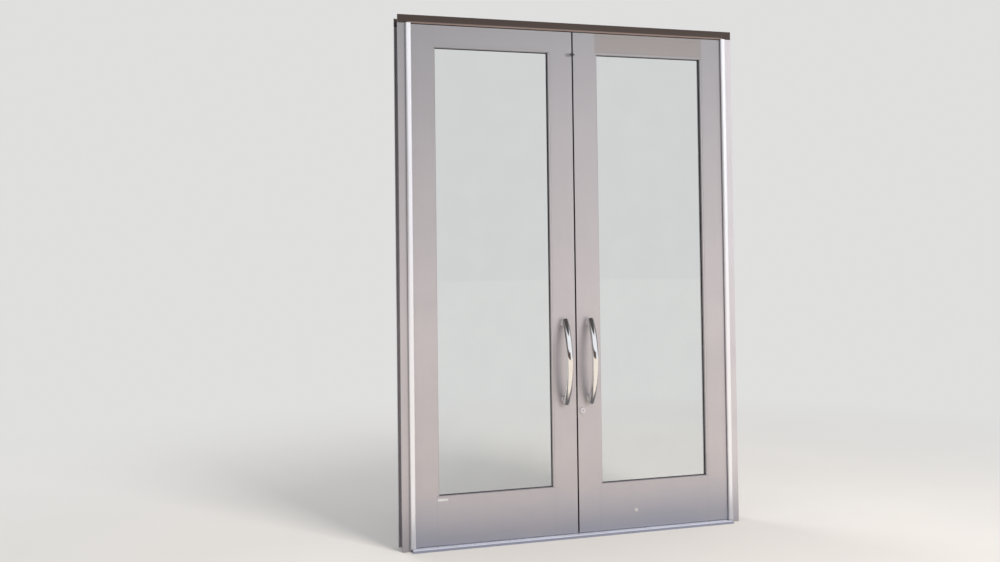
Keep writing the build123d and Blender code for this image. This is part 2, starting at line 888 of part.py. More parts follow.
def make_key_plug():
    """Plug that the key turns, with its keyway."""
    start = (lock_x, leaf_front - collar_thickness - plug_proud, lock_z)
    length = collar_thickness + cylinder_length + plug_proud
    with BuildPart() as plug:
        drill(start, (0, 1, 0), plug_radius, length, Mode.ADD)
        half_width, half_height = keyway_width / 2, keyway_height / 2
        box_between(
            (lock_x - half_width, start[1], lock_z - half_height),
            (lock_x + half_width, start[1] + keyway_depth, lock_z + half_height),
            Mode.SUBTRACT,
        )
    return plug.part


def make_thumbturn():
    """Turn on the inside of the stile, upright when the bolt is drawn back."""
    cylinder_end = leaf_front + cylinder_length + running_clearance
    knob = leaf_back + running_clearance
    with BuildPart() as turn:
        with BuildSketch(Plane(origin=(lock_x, knob, lock_z), x_dir=(0, 0, 1), z_dir=(0, 1, 0))):
            SlotOverall(turn_length, turn_thickness)
        extrude(amount=turn_height)
        start = (lock_x, cylinder_end, lock_z)
        drill(start, (0, 1, 0), spindle_radius, knob - cylinder_end, Mode.ADD)
    return turn.part


# Flush bolts in the left leaf
def flush_plate_middle(up):
    """Height of the middle of a flush bolt's face plate: up is 1 for the top bolt, -1 below."""
    return leaf_top - flush_plate_inset if up > 0 else leaf_bottom + flush_plate_inset


def flush_leaf_end(up):
    """The end of the leaf that a flush bolt comes out of."""
    return leaf_top if up > 0 else leaf_bottom


def make_flush_case(up):
    """Channel of a flush bolt behind its face plate, which the rod slides in."""
    middle = flush_plate_middle(up)
    half_width, half_body = flush_body_width / 2, flush_body_length / 2
    inner = meeting_edge - plate_thickness
    outer = meeting_edge - flush_body_depth
    tab_half = flush_tab_width / 2 + running_clearance
    slot_half = (flush_tab_height + flush_travel) / 2 + running_clearance
    with BuildPart() as case:
        add_plate(meeting_edge, -1, middle - flush_plate_length / 2, middle + flush_plate_length / 2)
        box_between(
            (inner, leaf_middle - half_width, middle - half_body),
            (outer, leaf_middle + half_width, middle + half_body),
        )
        box_between(
            (inner, leaf_middle - half_width + flush_body_wall, middle - half_body),
            (outer + flush_body_wall, leaf_middle + half_width - flush_body_wall, middle + half_body),
            Mode.SUBTRACT,
        )
        box_between(
            (meeting_edge, leaf_middle - tab_half, middle - slot_half),
            (inner, leaf_middle + tab_half, middle + slot_half),
            Mode.SUBTRACT,
        )
    return case.part


def make_flush_rod(up):
    """Rod of a flush bolt with the tab that slides it, drawn back into the leaf."""
    middle = flush_plate_middle(up)
    rod_x = meeting_edge - flush_rod_setback
    tab_middle = middle - up * flush_travel / 2
    tail = tab_middle - up * flush_tab_height / 2
    tip = flush_leaf_end(up) - up * flush_rod_inset
    half = flush_tab_width / 2
    with BuildPart() as rod:
        drill((rod_x, leaf_middle, tail), (0, 0, up), flush_rod_radius, abs(tip - tail), Mode.ADD)
        box_between(
            (rod_x, leaf_middle - half, tail),
            (meeting_edge, leaf_middle + half, tail + up * flush_tab_height),
        )
    return rod.part


# Frame
write_pair(make_jamb(), "jamb")
write(make_header(), "header")
write(make_header_clips(), "header_clips")
write(make_threshold(), "threshold")
write_pair(make_jamb_strip(stop_outline), "jamb_stop")
write_pair(make_jamb_strip(seal_outline), "jamb_seal")
write(make_head_strip(stop_outline), "head_stop")
write(make_head_strip(seal_outline), "head_seal")

# Hinges
write_pair(make_gear(frame_gear_x, 1, True), "frame_gear")
write_pair(make_gear(leaf_gear_x, -1, False), "leaf_gear")
write_pair(make_hinge_cap(), "hinge_cap")
write_pair(make_bearings(), "hinge_bearings")

# Both leaves
write_pair(make_hinge_stile(), "hinge_stile")
write(make_left_meeting_stile(), "left_meeting_stile")
write(make_right_meeting_stile(), "right_meeting_stile")
write_pair(make_rail(glazing_top, top_rail_height), "top_rail")
write_pair(make_rail(leaf_bottom, bottom_rail_height), "bottom_rail")
write_pair(make_corner_clips(), "corner_clips")
write_pair(make_glass(), "glass")
write_pair(make_setting_blocks(), "setting_blocks")
write_pair(make_beads(), "glazing_beads")
write_pair(make_gaskets(), "gaskets")
write_pair(make_pull(), "pull")
write_pair(make_push_plate(), "push_plate")
write_pair(make_bottom_sweep(), "bottom_sweep")
write(make_meeting_seals(), "meeting_seals")

# Lock and flush bolts
write(make_strike_plate(), "strike_plate")
write(make_lock_case(), "lock_case")
write(make_lock_bolt(), "lock_bolt")
write(make_lock_cylinder(), "lock_cylinder")
write(make_key_plug(), "key_plug")
write(make_thumbturn(), "thumbturn")
for up, name in ((1, "top"), (-1, "bottom")):
    write(make_flush_case(up), f"{name}_bolt_case")
    write(make_flush_rod(up), f"{name}_bolt_rod")
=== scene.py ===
# %% [markdown]
# # A pair of glazed aluminium doors in their frame
#
# This lesson dresses a finished CAD model of an entrance: two tall leaves of satin aluminium with one clear
# pane each, hung on full-height geared hinges. The big extrusions are already right, so they keep their
# shape and only get a finish. What the hand touches and what the eye goes to, such as the bow pulls and the
# screws, is modelled here.

# %% Load the doors
import math

import bmesh
import bpy
from mathutils import Matrix, Vector


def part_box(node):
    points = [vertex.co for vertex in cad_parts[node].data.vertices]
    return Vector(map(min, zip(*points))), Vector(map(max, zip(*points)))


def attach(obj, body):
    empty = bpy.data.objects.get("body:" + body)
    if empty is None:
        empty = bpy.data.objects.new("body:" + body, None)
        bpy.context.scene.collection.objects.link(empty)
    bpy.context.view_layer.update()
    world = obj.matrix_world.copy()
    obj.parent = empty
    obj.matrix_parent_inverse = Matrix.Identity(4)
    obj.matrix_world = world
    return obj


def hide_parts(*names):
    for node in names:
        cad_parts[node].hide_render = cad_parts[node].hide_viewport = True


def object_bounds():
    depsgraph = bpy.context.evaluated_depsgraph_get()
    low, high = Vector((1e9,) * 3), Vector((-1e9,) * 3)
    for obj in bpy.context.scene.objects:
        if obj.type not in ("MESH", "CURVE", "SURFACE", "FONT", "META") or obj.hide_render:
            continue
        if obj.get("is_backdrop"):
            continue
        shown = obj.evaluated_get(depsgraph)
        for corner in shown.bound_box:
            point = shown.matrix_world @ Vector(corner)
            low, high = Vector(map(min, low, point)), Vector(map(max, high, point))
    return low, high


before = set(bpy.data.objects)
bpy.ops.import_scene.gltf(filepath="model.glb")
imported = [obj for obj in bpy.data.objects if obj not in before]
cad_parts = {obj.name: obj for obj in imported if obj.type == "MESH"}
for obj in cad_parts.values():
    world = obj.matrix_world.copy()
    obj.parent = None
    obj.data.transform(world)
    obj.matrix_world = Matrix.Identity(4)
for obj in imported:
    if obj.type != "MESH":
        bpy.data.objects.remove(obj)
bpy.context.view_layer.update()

MM = 0.001

# %% [markdown]
# ## Start with nothing selected
#
# Shapes are made with the same operators as by hand. An operator acts on all that is selected, and loading
# leaves every CAD node selected. So the first helper leaves edit mode and clears the selection. It is called
# before each new shape, and by every helper below that takes a piece.

# %% Clear the selection
def clear_selection():
    """Leaves edit mode and selects nothing."""
    active = bpy.context.view_layer.objects.active
    if active and active.mode != "OBJECT":
        bpy.ops.object.mode_set(mode="OBJECT")
    bpy.ops.object.select_all(action="DESELECT")


print("selected after loading:", len(bpy.context.selected_objects))
clear_selection()
print("selected now:", len(bpy.context.selected_objects))

# %% [markdown]
# ## Shader nodes in one line
#
# A finish is a net of shader nodes. By hand each node is added, set and linked, and in code that soon takes
# a page for each metal. So one helper adds a node with its links, and a few more name the patterns that
# come again and again: a mix of two colours, a range, a cloud of noise and a relief.

# %% Helpers for shader nodes
def add_node(owner, kind, inputs=None, **settings):
    """Adds a shader node; an input is a value, or another node's output to link from."""
    made = owner.node_tree.nodes.new("ShaderNode" + kind)
    for name, value in settings.items():
        setattr(made, name, value)
    set_inputs(owner, made, inputs or {})
    return made


def set_inputs(owner, node, inputs):
    """Gives each named input a plain value, or links another node's output to it."""
    for name, value in inputs.items():
        if isinstance(value, bpy.types.NodeSocket):
            owner.node_tree.links.new(value, node.inputs[name])
        else:
            node.inputs[name].default_value = value


def new_finish(name):
    """A new material and its Principled shader."""
    material = bpy.data.materials.new(name)
    material.use_nodes = True
    return material, material.node_tree.nodes["Principled BSDF"]


print("shader helpers:", ", ".join(helper.__name__ for helper in (add_node, set_inputs, new_finish)))


# %% Helpers for patterns
MIX_FACTOR, MIX_FIRST, MIX_SECOND, MIXED = 0, 6, 7, 2


def mix_colours(owner, factor, first, second):
    """The colour between two colours, each a value or an output."""
    inputs = {MIX_FACTOR: factor, MIX_FIRST: first, MIX_SECOND: second}
    return add_node(owner, "Mix", inputs, data_type="RGBA").outputs[MIXED]


def spread(owner, value, low, high, to_low=0.0, to_high=1.0):
    """Maps a value from one range to another, and stops at its ends."""
    ends = {"Value": value, "From Min": low, "From Max": high, "To Min": to_low, "To Max": to_high}
    return add_node(owner, "MapRange", ends).outputs["Result"]


def arithmetic(owner, operation, *values):
    """One step of arithmetic on node outputs."""
    return add_node(owner, "Math", dict(enumerate(values)), operation=operation).outputs[0]


def object_place(owner):
    """Places on the piece itself, so that a pattern stays on it as it moves."""
    return add_node(owner, "TexCoord").outputs["Object"]


def split(owner, place):
    """The X, Y and Z of a place or a direction."""
    return add_node(owner, "SeparateXYZ", {"Vector": place}).outputs


def cloudy(owner, place, scale, detail=3.0, stretch=(1.0, 1.0, 1.0)):
    """A noise value, stretched along the axes whose number is small."""
    mapped = add_node(owner, "Mapping", {"Vector": place, "Scale": stretch}).outputs["Vector"]
    inputs = {"Vector": mapped, "Scale": scale, "Detail": detail, "Roughness": 0.6}
    return add_node(owner, "TexNoise", inputs).outputs["Fac"]


def add_relief(owner, shader, height, strength, distance):
    """Turns a height into bump on the shader."""
    bump = add_node(owner, "Bump", {"Strength": strength, "Distance": distance, "Height": height})
    set_inputs(owner, shader, {"Normal": bump.outputs["Normal"]})


print("pattern helpers:", ", ".join(helper.__name__ for helper in (mix_colours, spread, cloudy)))

# %% [markdown]
# ## Satin anodised aluminium
#
# Each bar was pushed through a die and then etched and anodised. The die leaves very fine lines along the
# bar, the oxide has slow clouds, and rain splash with painted shade makes the lowest 30 cm darker and bluer
# in blotches. A flat grey would look like painted plastic, so the lines go into the roughness and a weak
# bump, and the clouds into the colour.
#
# Over that lie marks that belong to a place on the door, and painted shade. Painted shade darkens the metal
# towards the top, a rail that is cut square and held between the stiles shows a hairline at each end, the
# leaves have rubbed each other where they meet, and painted shade darkens the edges in the gap. They could
# be painted on an image, but a place and a size are enough for each, so they are worked out from the bar's
# own coordinates and stay sharp at any distance.

# %% Marks on a bar
HAIRLINE = (0.120, 0.110, 0.105, 1.0)
RUBBED = (0.045, 0.043, 0.045, 1.0)
SOFT_EDGE = 0.4 * MM


def shade_by_height(material, colour, height, bands):
    """Blends in each band's shade, from nothing at its start to its strength at its end."""
    for start, end, shade, strength in bands:
        amount = spread(material, height, start, end, 0.0, strength)
        colour = mix_colours(material, amount, colour, shade)
    return colour


def draw_hairlines(material, colour, from_middle, joints):
    """A thin line at each distance from the door's middle, where two bars meet."""
    for joint in joints:
        at_joint = arithmetic(material, "COMPARE", from_middle, joint, SOFT_EDGE)
        colour = mix_colours(material, arithmetic(material, "MULTIPLY", at_joint, 0.6), colour, HAIRLINE)
    return colour


def draw_rubs(material, colour, axes, rubs):
    """Soft dark ovals, each given by its place, its half width and height, and its strength."""
    for x, z, half_width, half_height, strength in rubs:
        across = arithmetic(material, "DIVIDE", arithmetic(material, "SUBTRACT", axes["X"], x), half_width)
        up = arithmetic(material, "DIVIDE", arithmetic(material, "SUBTRACT", axes["Z"], z), half_height)
        squares = [arithmetic(material, "POWER", value, 2.0) for value in (across, up)]
        far = arithmetic(material, "ADD", *squares)
        colour = mix_colours(material, spread(material, far, 1.0, 0.1, 0.0, strength), colour, RUBBED)
    return colour


print("hairlines are", 2 * SOFT_EDGE / MM, "mm wide")

# %% Finish for extruded bars
LINES_ALONG = {"x": (1.5, 700.0, 700.0), "y": (700.0, 1.5, 700.0), "z": (700.0, 700.0, 1.5)}
CLEAR_ANODISED = (0.540, 0.503, 0.522, 1.0), (0.490, 0.460, 0.482, 1.0)
# Rain splash with painted shade at the foot, and painted shade on the edges in the meeting gap.
SPLASH_AND_FOOT_SHADE, GAP_SHADE = (0.445, 0.460, 0.540, 1.0), (0.085, 0.077, 0.081, 1.0)
FOOT_BAND_TOP, FOOT_BAND_LOW = 0.30, 0.02
# Painted shade that darkens the bars towards the top.
PAINTED_TOP_SHADE = (0.295, 0.290, 0.305, 1.0)
SHADE_TOWARDS_TOP = (1.2, 2.8, PAINTED_TOP_SHADE, 0.9)


def extruded_finish(
    name,
    along,
    colours=CLEAR_ANODISED,
    rough=0.36,
    metal=0.55,
    bands=(SHADE_TOWARDS_TOP,),
    foot_shading=(0.5, 0.9),
    joints=(),
    rubs=(),
    shaded_edge=None,
):
    """Satin aluminium with its die lines along one axis, and the marks and painted light and shade that this
    bar has.
    """
    material, shader = new_finish(name)
    place = object_place(material)
    axes = split(material, place)
    lines = cloudy(material, place, 1.0, 4.0, LINES_ALONG[along])
    clouds = cloudy(material, place, 3.0, 4.0)
    mostly_clouds = arithmetic(material, "MULTIPLY", clouds, 0.7)
    some_lines = arithmetic(material, "MULTIPLY", lines, 0.3)
    tone = arithmetic(material, "ADD", mostly_clouds, some_lines)
    colour = mix_colours(material, spread(material, tone, 0.36, 0.66), *colours)
    # Rain splash and painted shade: cloudy blotches, darker and bluer, over the lowest 30 cm.
    near_foot = spread(material, axes["Z"], FOOT_BAND_TOP, FOOT_BAND_LOW)
    in_clouds = spread(material, clouds, 0.3, 0.6, *foot_shading)
    colour = mix_colours(material, arithmetic(material, "MULTIPLY", near_foot, in_clouds), colour, SPLASH_AND_FOOT_SHADE)
    colour = shade_by_height(material, colour, axes["Z"], bands)
    from_middle = arithmetic(material, "ABSOLUTE", axes["X"])
    colour = draw_hairlines(material, colour, from_middle, joints)
    colour = draw_rubs(material, colour, axes, rubs)
    # Painted shade on the edges that face the meeting gap.
    if shaded_edge is not None:
        edge_shade = spread(material, from_middle, shaded_edge + SOFT_EDGE, shaded_edge, 0.0, 0.8)
        colour = mix_colours(material, edge_shade, colour, GAP_SHADE)
    dull = spread(material, lines, 0.3, 0.7, rough - 0.05, rough + 0.07)
    set_inputs(material, shader, {"Base Color": colour, "Roughness": dull, "Metallic": metal})
    add_relief(material, shader, lines, 0.45, 0.08 * MM)
    return material


upright_bar = extruded_finish("satin_anodised_upright", "z")
level_bar = extruded_finish("satin_anodised_level", "x")
print("plain bars:", upright_bar.name, level_bar.name)

# %% [markdown]
# The bars of the leaves differ in their marks and painted shade. A rail gets its two hairlines where the
# stiles end, and the right leaf's top rail gets a warmer and darker painted shade. The meeting stiles get
# the rub marks near the top, where the leaves touched, and painted shade on their edges in the gap.

# %% Bars of the leaves
rail_joints = (abs(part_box("left_meeting_stile")[0].x), abs(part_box("left_hinge_stile")[1].x))
rail_bar = extruded_finish("satin_anodised_rail", "x", joints=rail_joints)
# Painted shade: the right leaf's top rail is painted warmer and darker.
WARM_TOP_SHADE = (0.262, 0.240, 0.236, 1.0)
warm_shade_towards_top = (1.2, 2.8, WARM_TOP_SHADE, 0.95)
shaded_rail_bar = extruded_finish(
    "satin_anodised_right_top_rail", "x", joints=rail_joints, bands=(warm_shade_towards_top,)
)
# Painted shade on the meeting edges starts this far from the middle; the rub marks sit at this height.
meeting_edge_shade, rub_z = 4.2 * MM, 2.6165
left_rubs = ((-0.022, 2.6125, 0.026, 0.014, 0.5), (-0.006, rub_z, 0.014, 0.0095, 0.95))
right_rubs = ((0.006, rub_z, 0.011, 0.0085, 0.9),)
left_rubbed_bar = extruded_finish(
    "satin_anodised_rubbed_left", "z", rubs=left_rubs, shaded_edge=meeting_edge_shade
)
right_rubbed_bar = extruded_finish(
    "satin_anodised_rubbed_right", "z", rubs=right_rubs, shaded_edge=meeting_edge_shade
)
print("rail joints at", [round(joint, 4) for joint in rail_joints], "rub marks at", rub_z)

# %% [markdown]
# The frame's colours are painted light and shade. The header is painted in deep warm shade, with a paler
# warm lip at its foot, and the jambs are painted as dark where they end beside it. The right jamb carries
# painted light, a lighter grey with no shade towards the top. As these are edges at one height, a narrow
# band of height draws each.

# %% Bars of the frame
# Painted shade and light: the header is dark above a warm lip, the jamb ends beside it are as dark, and the
# right jamb is painted lighter.
OVERHANG_SHADE = (0.062, 0.046, 0.040, 1.0)
WARM_SHADED_LIP = (0.245, 0.185, 0.160, 1.0), (0.215, 0.160, 0.138, 1.0)
LIT_ANODISED = (0.620, 0.590, 0.620, 1.0), (0.570, 0.540, 0.570, 1.0)
FAINT_FOOT_BLOTCHES = (0.0, 0.1)
header_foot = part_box("header")[0].z
jamb_line = abs(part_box("left_jamb")[1].x)
shade_above_lip = (header_foot + 6.3 * MM, header_foot + 11.3 * MM, OVERHANG_SHADE, 1.0)
jamb_end_shade = (header_foot - 0.2 * MM, header_foot + 0.2 * MM, OVERHANG_SHADE, 1.0)
shaded_header_bar = extruded_finish(
    "painted_shade_header", "x", WARM_SHADED_LIP, joints=(jamb_line,), bands=(shade_above_lip,)
)
left_jamb_bar = extruded_finish(
    "satin_anodised_left_jamb", "z", bands=(SHADE_TOWARDS_TOP, jamb_end_shade), foot_shading=FAINT_FOOT_BLOTCHES
)
# Painted light: the right jamb is a lighter grey, with no painted shade towards the top.
lit_right_jamb_bar = extruded_finish(
    "satin_anodised_right_jamb", "z", LIT_ANODISED, bands=(jamb_end_shade,), foot_shading=FAINT_FOOT_BLOTCHES
)
print("header foot at", round(header_foot, 4), "inner faces of the jambs at", round(jamb_line, 4))

# %% [markdown]
# ## Bars with painted light and shade
#
# The hinge cover stands beside the leaf as a pale line, which is a painted highlight: it takes the recipe of
# the bars with a lighter grey and more gloss. The threshold is mill finish: feet polish its high lands and
# scratch across it, and leave grey in between. Its blue-white is partly a painted sky reflection, and its
# nose is darkened with painted shade. Its scuffs run across its own die lines, so it needs a recipe with
# both.

# %% Hinge cover
# Painted highlight: the hinge cover's lighter grey stands in for the light it catches.
HIGHLIGHT_GREY = (0.82, 0.82, 0.865, 1.0), (0.785, 0.785, 0.83, 1.0)
highlight_cover_bar = extruded_finish(
    "painted_highlight_cover", "z", HIGHLIGHT_GREY, rough=0.2, metal=0.5, bands=(), foot_shading=(0.0, 0.05)
)
print("hinge cover:", highlight_cover_bar.name)

# %% Threshold
# Partly painted reflection: the blue-white stands in for the sky mirrored on the polished top.
POLISH_AND_SKY_REFLECTION = (0.88, 0.90, 1.0, 1.0), (0.82, 0.84, 0.94, 1.0)
SCUFFED = (0.52, 0.51, 0.52, 1.0)
# Painted shade on the threshold's nose, below its top.
SHADED_NOSE = (0.27, 0.285, 0.37, 1.0)
SCUFFS_ALONG_Y = (60.0, 6.0, 60.0)
nose_shade = (10.2 * MM, 8.8 * MM, SHADED_NOSE, 0.85)


def trodden_finish(name):
    """Mill aluminium with die lines along x, scuffs along y where feet cross it, a painted sky reflection in
    its colour and painted shade on its nose.
    """
    material, shader = new_finish(name)
    place = object_place(material)
    lines = cloudy(material, place, 1.0, 4.0, LINES_ALONG["x"])
    scuffs = cloudy(material, place, 1.0, 2.0, SCUFFS_ALONG_Y)
    clouds = cloudy(material, place, 5.0, 4.0)
    colour = mix_colours(material, spread(material, clouds, 0.35, 0.65), *POLISH_AND_SKY_REFLECTION)
    colour = mix_colours(material, spread(material, scuffs, 0.5, 0.8, 0.0, 0.15), colour, SCUFFED)
    colour = shade_by_height(material, colour, split(material, place)["Z"], (nose_shade,))
    scuffed = spread(material, scuffs, 0.4, 0.65, 0.30, 0.40)
    lined = spread(material, lines, 0.3, 0.7, -0.04, 0.04)
    dull = arithmetic(material, "ADD", scuffed, lined)
    set_inputs(material, shader, {"Base Color": colour, "Roughness": dull, "Metallic": 0.35})
    add_relief(material, shader, scuffs, 0.04, 0.06 * MM)
    return material


trodden_bar = trodden_finish("mill_aluminium_trodden")
print("threshold:", trodden_bar.name)

# %% [markdown]
# ## Chrome and steel
#
# The pulls are mirror chrome, where only a faint smear of fingers breaks the mirror. Plates are satin steel
# with short brushed lines, and turned parts have finer ones. Both could be one noise with other numbers,
# but chrome has no direction and steel has, so each gets its own recipe.

# %% Chrome and steel
CHROME, SMEARED_CHROME = (0.86, 0.86, 0.87, 1.0), (0.80, 0.795, 0.79, 1.0)
BRUSHED = (0.48, 0.48, 0.485, 1.0), (0.40, 0.40, 0.41, 1.0)
TURNED = (0.64, 0.62, 0.66, 1.0), (0.58, 0.56, 0.60, 1.0)
ZINC_PLATED = (0.62, 0.62, 0.63, 1.0), (0.50, 0.50, 0.51, 1.0)


def chrome_finish(name):
    """Mirror chrome with faint smears."""
    material, shader = new_finish(name)
    smears = cloudy(material, object_place(material), 45.0, 5.0)
    colour = mix_colours(material, spread(material, smears, 0.45, 0.75), CHROME, SMEARED_CHROME)
    dull = spread(material, smears, 0.45, 0.8, 0.035, 0.11)
    set_inputs(material, shader, {"Base Color": colour, "Roughness": dull, "Metallic": 1.0})
    return material


def steel_finish(name, along, colours, rough, metal, fineness, relief):
    """Steel brushed along one axis; rough gives the roughness between the strokes and in them."""
    material, shader = new_finish(name)
    stretch = tuple(v * fineness for v in LINES_ALONG[along])
    strokes = cloudy(material, object_place(material), 1.0, 5.0, stretch)
    colour = mix_colours(material, spread(material, strokes, 0.35, 0.65), *colours)
    dull = spread(material, strokes, 0.3, 0.7, *rough)
    set_inputs(material, shader, {"Base Color": colour, "Roughness": dull, "Metallic": metal})
    add_relief(material, shader, strokes, relief, 0.05 * MM)
    return material


chrome = chrome_finish("polished_chrome_handled")
brushed_steel = steel_finish(
    "satin_steel_brushed", "z", BRUSHED, (0.24, 0.36), metal=0.75, fineness=3.2, relief=0.3
)
turned_steel = steel_finish(
    "satin_chrome_turned", "y", TURNED, (0.2, 0.3), metal=0.6, fineness=6.0, relief=0.12
)
zinc_steel = steel_finish(
    "zinc_plated_screw", "y", ZINC_PLATED, (0.3, 0.46), metal=0.6, fineness=4.0, relief=0.2
)
print("metals:", chrome.name, brushed_steel.name, turned_steel.name, zinc_steel.name)

# %% [markdown]
# ## Rubber, plastic and pile
#
# Gaskets are matt black rubber that goes grey with dust, bearings are moulded acetal, and the meeting gap
# has a brush of pile. All three scatter light without a mirror, so one recipe serves them: a grain that
# carries the dust, the roughness and the bump, as coarse or as fine as each needs.

# %% Rubber, acetal and pile
def dull_finish(name, base, dusty, scale, rough, relief):
    """Rubber or plastic with a grain, and dust in its hollows."""
    material, shader = new_finish(name)
    grain = cloudy(material, object_place(material), scale, 6.0)
    colour = mix_colours(material, spread(material, grain, 0.45, 0.8), base, dusty)
    dull = spread(material, grain, 0.3, 0.7, rough - 0.06, rough + 0.06)
    set_inputs(material, shader, {"Base Color": colour, "Roughness": dull})
    add_relief(material, shader, grain, 0.4, relief)
    return material


BLACK_RUBBER, DUSTY_RUBBER = (0.018, 0.018, 0.019, 1.0), (0.060, 0.058, 0.055, 1.0)
ACETAL, GREASY_ACETAL = (0.76, 0.755, 0.73, 1.0), (0.62, 0.61, 0.58, 1.0)
BLACK_PILE, DUSTY_PILE = (0.010, 0.0095, 0.010, 1.0), (0.035, 0.033, 0.032, 1.0)
rubber = dull_finish(
    "black_rubber_dusty", BLACK_RUBBER, DUSTY_RUBBER, scale=260.0, rough=0.68, relief=0.2 * MM
)
acetal = dull_finish("acetal_moulded", ACETAL, GREASY_ACETAL, scale=120.0, rough=0.36, relief=0.1 * MM)
pile = dull_finish("black_pile_brush", BLACK_PILE, DUSTY_PILE, scale=900.0, rough=0.92, relief=0.6 * MM)
print("soft finishes:", rubber.name, acetal.name, pile.name)

# %% [markdown]
# ## Glass
#
# The pane is clear float glass with a slight grey-green body. Perfect glass would vanish, so a very thin
# film of dust roughens it a little, and more at the foot, where rain leaves it.

# %% Glass
GLASS_BODY, GLASS_CLOUDS = (0.885, 0.905, 0.905, 1.0), (0.86, 0.88, 0.885, 1.0)
DUSTY_BELOW, DUSTIEST_AT = 0.75, 0.27


def glass_finish(name):
    """Clear glass with a film of dust."""
    material, shader = new_finish(name)
    place = object_place(material)
    film = cloudy(material, place, 6.0, 6.0)
    foot = spread(material, split(material, place)["Z"], DUSTY_BELOW, DUSTIEST_AT, 0.0, 0.05)
    colour = mix_colours(material, spread(material, film, 0.3, 0.7), GLASS_BODY, GLASS_CLOUDS)
    dull = arithmetic(material, "ADD", spread(material, film, 0.45, 0.8, 0.0, 0.015), foot)
    clear = {"Base Color": colour, "Roughness": dull, "Transmission Weight": 1.0, "IOR": 1.5}
    set_inputs(material, shader, clear)
    return material


pane_glass = glass_finish("clear_float_glass")
print("glass:", pane_glass.name)

# %% [markdown]
# ## Give each CAD piece its finish
#
# A bar's lines run along its length, so stiles and jambs take the upright finish and rails and header the
# level one. The list below says which piece gets what, and the cell stops at once if a piece was forgotten.

# %% Assign the finishes
SIDES = {"left": -1, "right": 1}
wanted = {"header": shaded_header_bar, "head_stop": level_bar, "head_seal": rubber, "meeting_seals": pile}
wanted |= {"threshold": trodden_bar, "header_clips": trodden_bar}
brushed_names = ("lock_case", "strike_plate", "top_bolt_case", "bottom_bolt_case")
brushed_names += ("top_bolt_rod", "bottom_bolt_rod", "lock_bolt")
wanted |= {name: brushed_steel for name in brushed_names}
wanted |= {name: turned_steel for name in ("lock_cylinder", "key_plug", "thumbturn")}
upright_names = ("jamb_stop", "frame_gear", "leaf_gear", "hinge_stile", "glazing_beads")
rubber_names = ("jamb_seal", "gaskets", "setting_blocks", "bottom_sweep")
for side in SIDES:
    wanted |= {f"{side}_{part}": upright_bar for part in upright_names}
    wanted |= {f"{side}_{part}": rail_bar for part in ("top_rail", "bottom_rail")}
    wanted |= {f"{side}_{part}": rubber for part in rubber_names}
    wanted |= {f"{side}_hinge_cap": highlight_cover_bar, f"{side}_hinge_bearings": acetal}
    wanted |= {f"{side}_corner_clips": trodden_bar, f"{side}_glass": pane_glass}
    wanted |= {f"{side}_pull": chrome, f"{side}_push_plate": brushed_steel}
wanted |= {"left_meeting_stile": left_rubbed_bar, "right_meeting_stile": right_rubbed_bar}
wanted |= {"left_jamb": left_jamb_bar, "right_jamb": lit_right_jamb_bar, "right_top_rail": shaded_rail_bar}
assert set(wanted) == set(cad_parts), set(wanted) ^ set(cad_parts)
for name, material in wanted.items():
    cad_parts[name].data.materials.clear()
    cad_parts[name].data.materials.append(material)
print("finished CAD nodes:", len(wanted))

# %% [markdown]
# ## Ready for modelling
#
# A new piece is started in the middle of the scene, where its sizes are easy to read, and then put in its
# place. Its place is baked into the mesh, so that the patterns of its finish sit where they should. What
# repeats is modelled once and copied, and the copies of one kind are joined as one piece.

# %% Helpers for choosing
def choose(piece):
    """Selects one piece only and makes it the active one."""
    clear_selection()
    piece.select_set(True)
    bpy.context.view_layer.objects.active = piece


def pick(kind, test):
    """In edit mode, selects only the faces, edges or vertices that pass the test, and counts them."""
    bpy.ops.mesh.select_mode(type=kind)
    bpy.ops.mesh.select_all(action="DESELECT")
    mesh = bmesh.from_edit_mesh(bpy.context.object.data)
    items = {"VERT": mesh.verts, "EDGE": mesh.edges, "FACE": mesh.faces}[kind]
    chosen = [item for item in items if test(item)]
    for item in chosen:
        item.select_set(True)
    bmesh.update_edit_mesh(bpy.context.object.data)
    return len(chosen)


def middle(item):
    """The middle of a face or an edge."""
    corners = [v.co for v in item.verts]
    return sum(corners, Vector()) / len(corners)


print("choosing helpers:", ", ".join(helper.__name__ for helper in (choose, pick, middle)))


# %% Helpers for placing
def put(piece, matrix):
    """Moves a piece and bakes the place into its mesh."""
    clear_selection()
    piece.matrix_world = matrix @ piece.matrix_world
    choose(piece)
    bpy.ops.object.transform_apply(location=True, rotation=True, scale=True)
    return piece


def join(pieces, name):
    """Joins pieces as one and names it."""
    clear_selection()
    for piece in pieces:
        piece.select_set(True)
    bpy.context.view_layer.objects.active = pieces[0]
    if len(pieces) > 1:
        bpy.ops.object.join()
    joined = bpy.context.object
    joined.name = joined.data.name = name
    return joined


def copy_to(master, matrices, name):
    """Copies a master to each place and joins the copies as one piece."""
    copies = []
    for matrix in matrices:
        choose(master)
        bpy.ops.object.duplicate(linked=False)
        copies.append(put(bpy.context.object, matrix))
    return join(copies, name)


def delete(piece):
    """Removes a piece from the scene."""
    choose(piece)
    bpy.ops.object.delete()


def place_at(x, y, z, facing="out"):
    """A matrix that stands a piece on a face: its local z points out, in, left, right or up."""
    quarter = math.radians(90)
    turns = {
        "up": Matrix.Identity(4),
        "out": Matrix.Rotation(quarter, 4, "X"),
        "in": Matrix.Rotation(-quarter, 4, "X"),
        "right": Matrix.Rotation(quarter, 4, "Y"),
        "left": Matrix.Rotation(-quarter, 4, "Y"),
    }
    return Matrix.Translation((x, y, z)) @ turns[facing]


print("out points along", [round(v) for v in place_at(0, 0, 0, "out").to_3x3() @ Vector((0, 0, 1))])


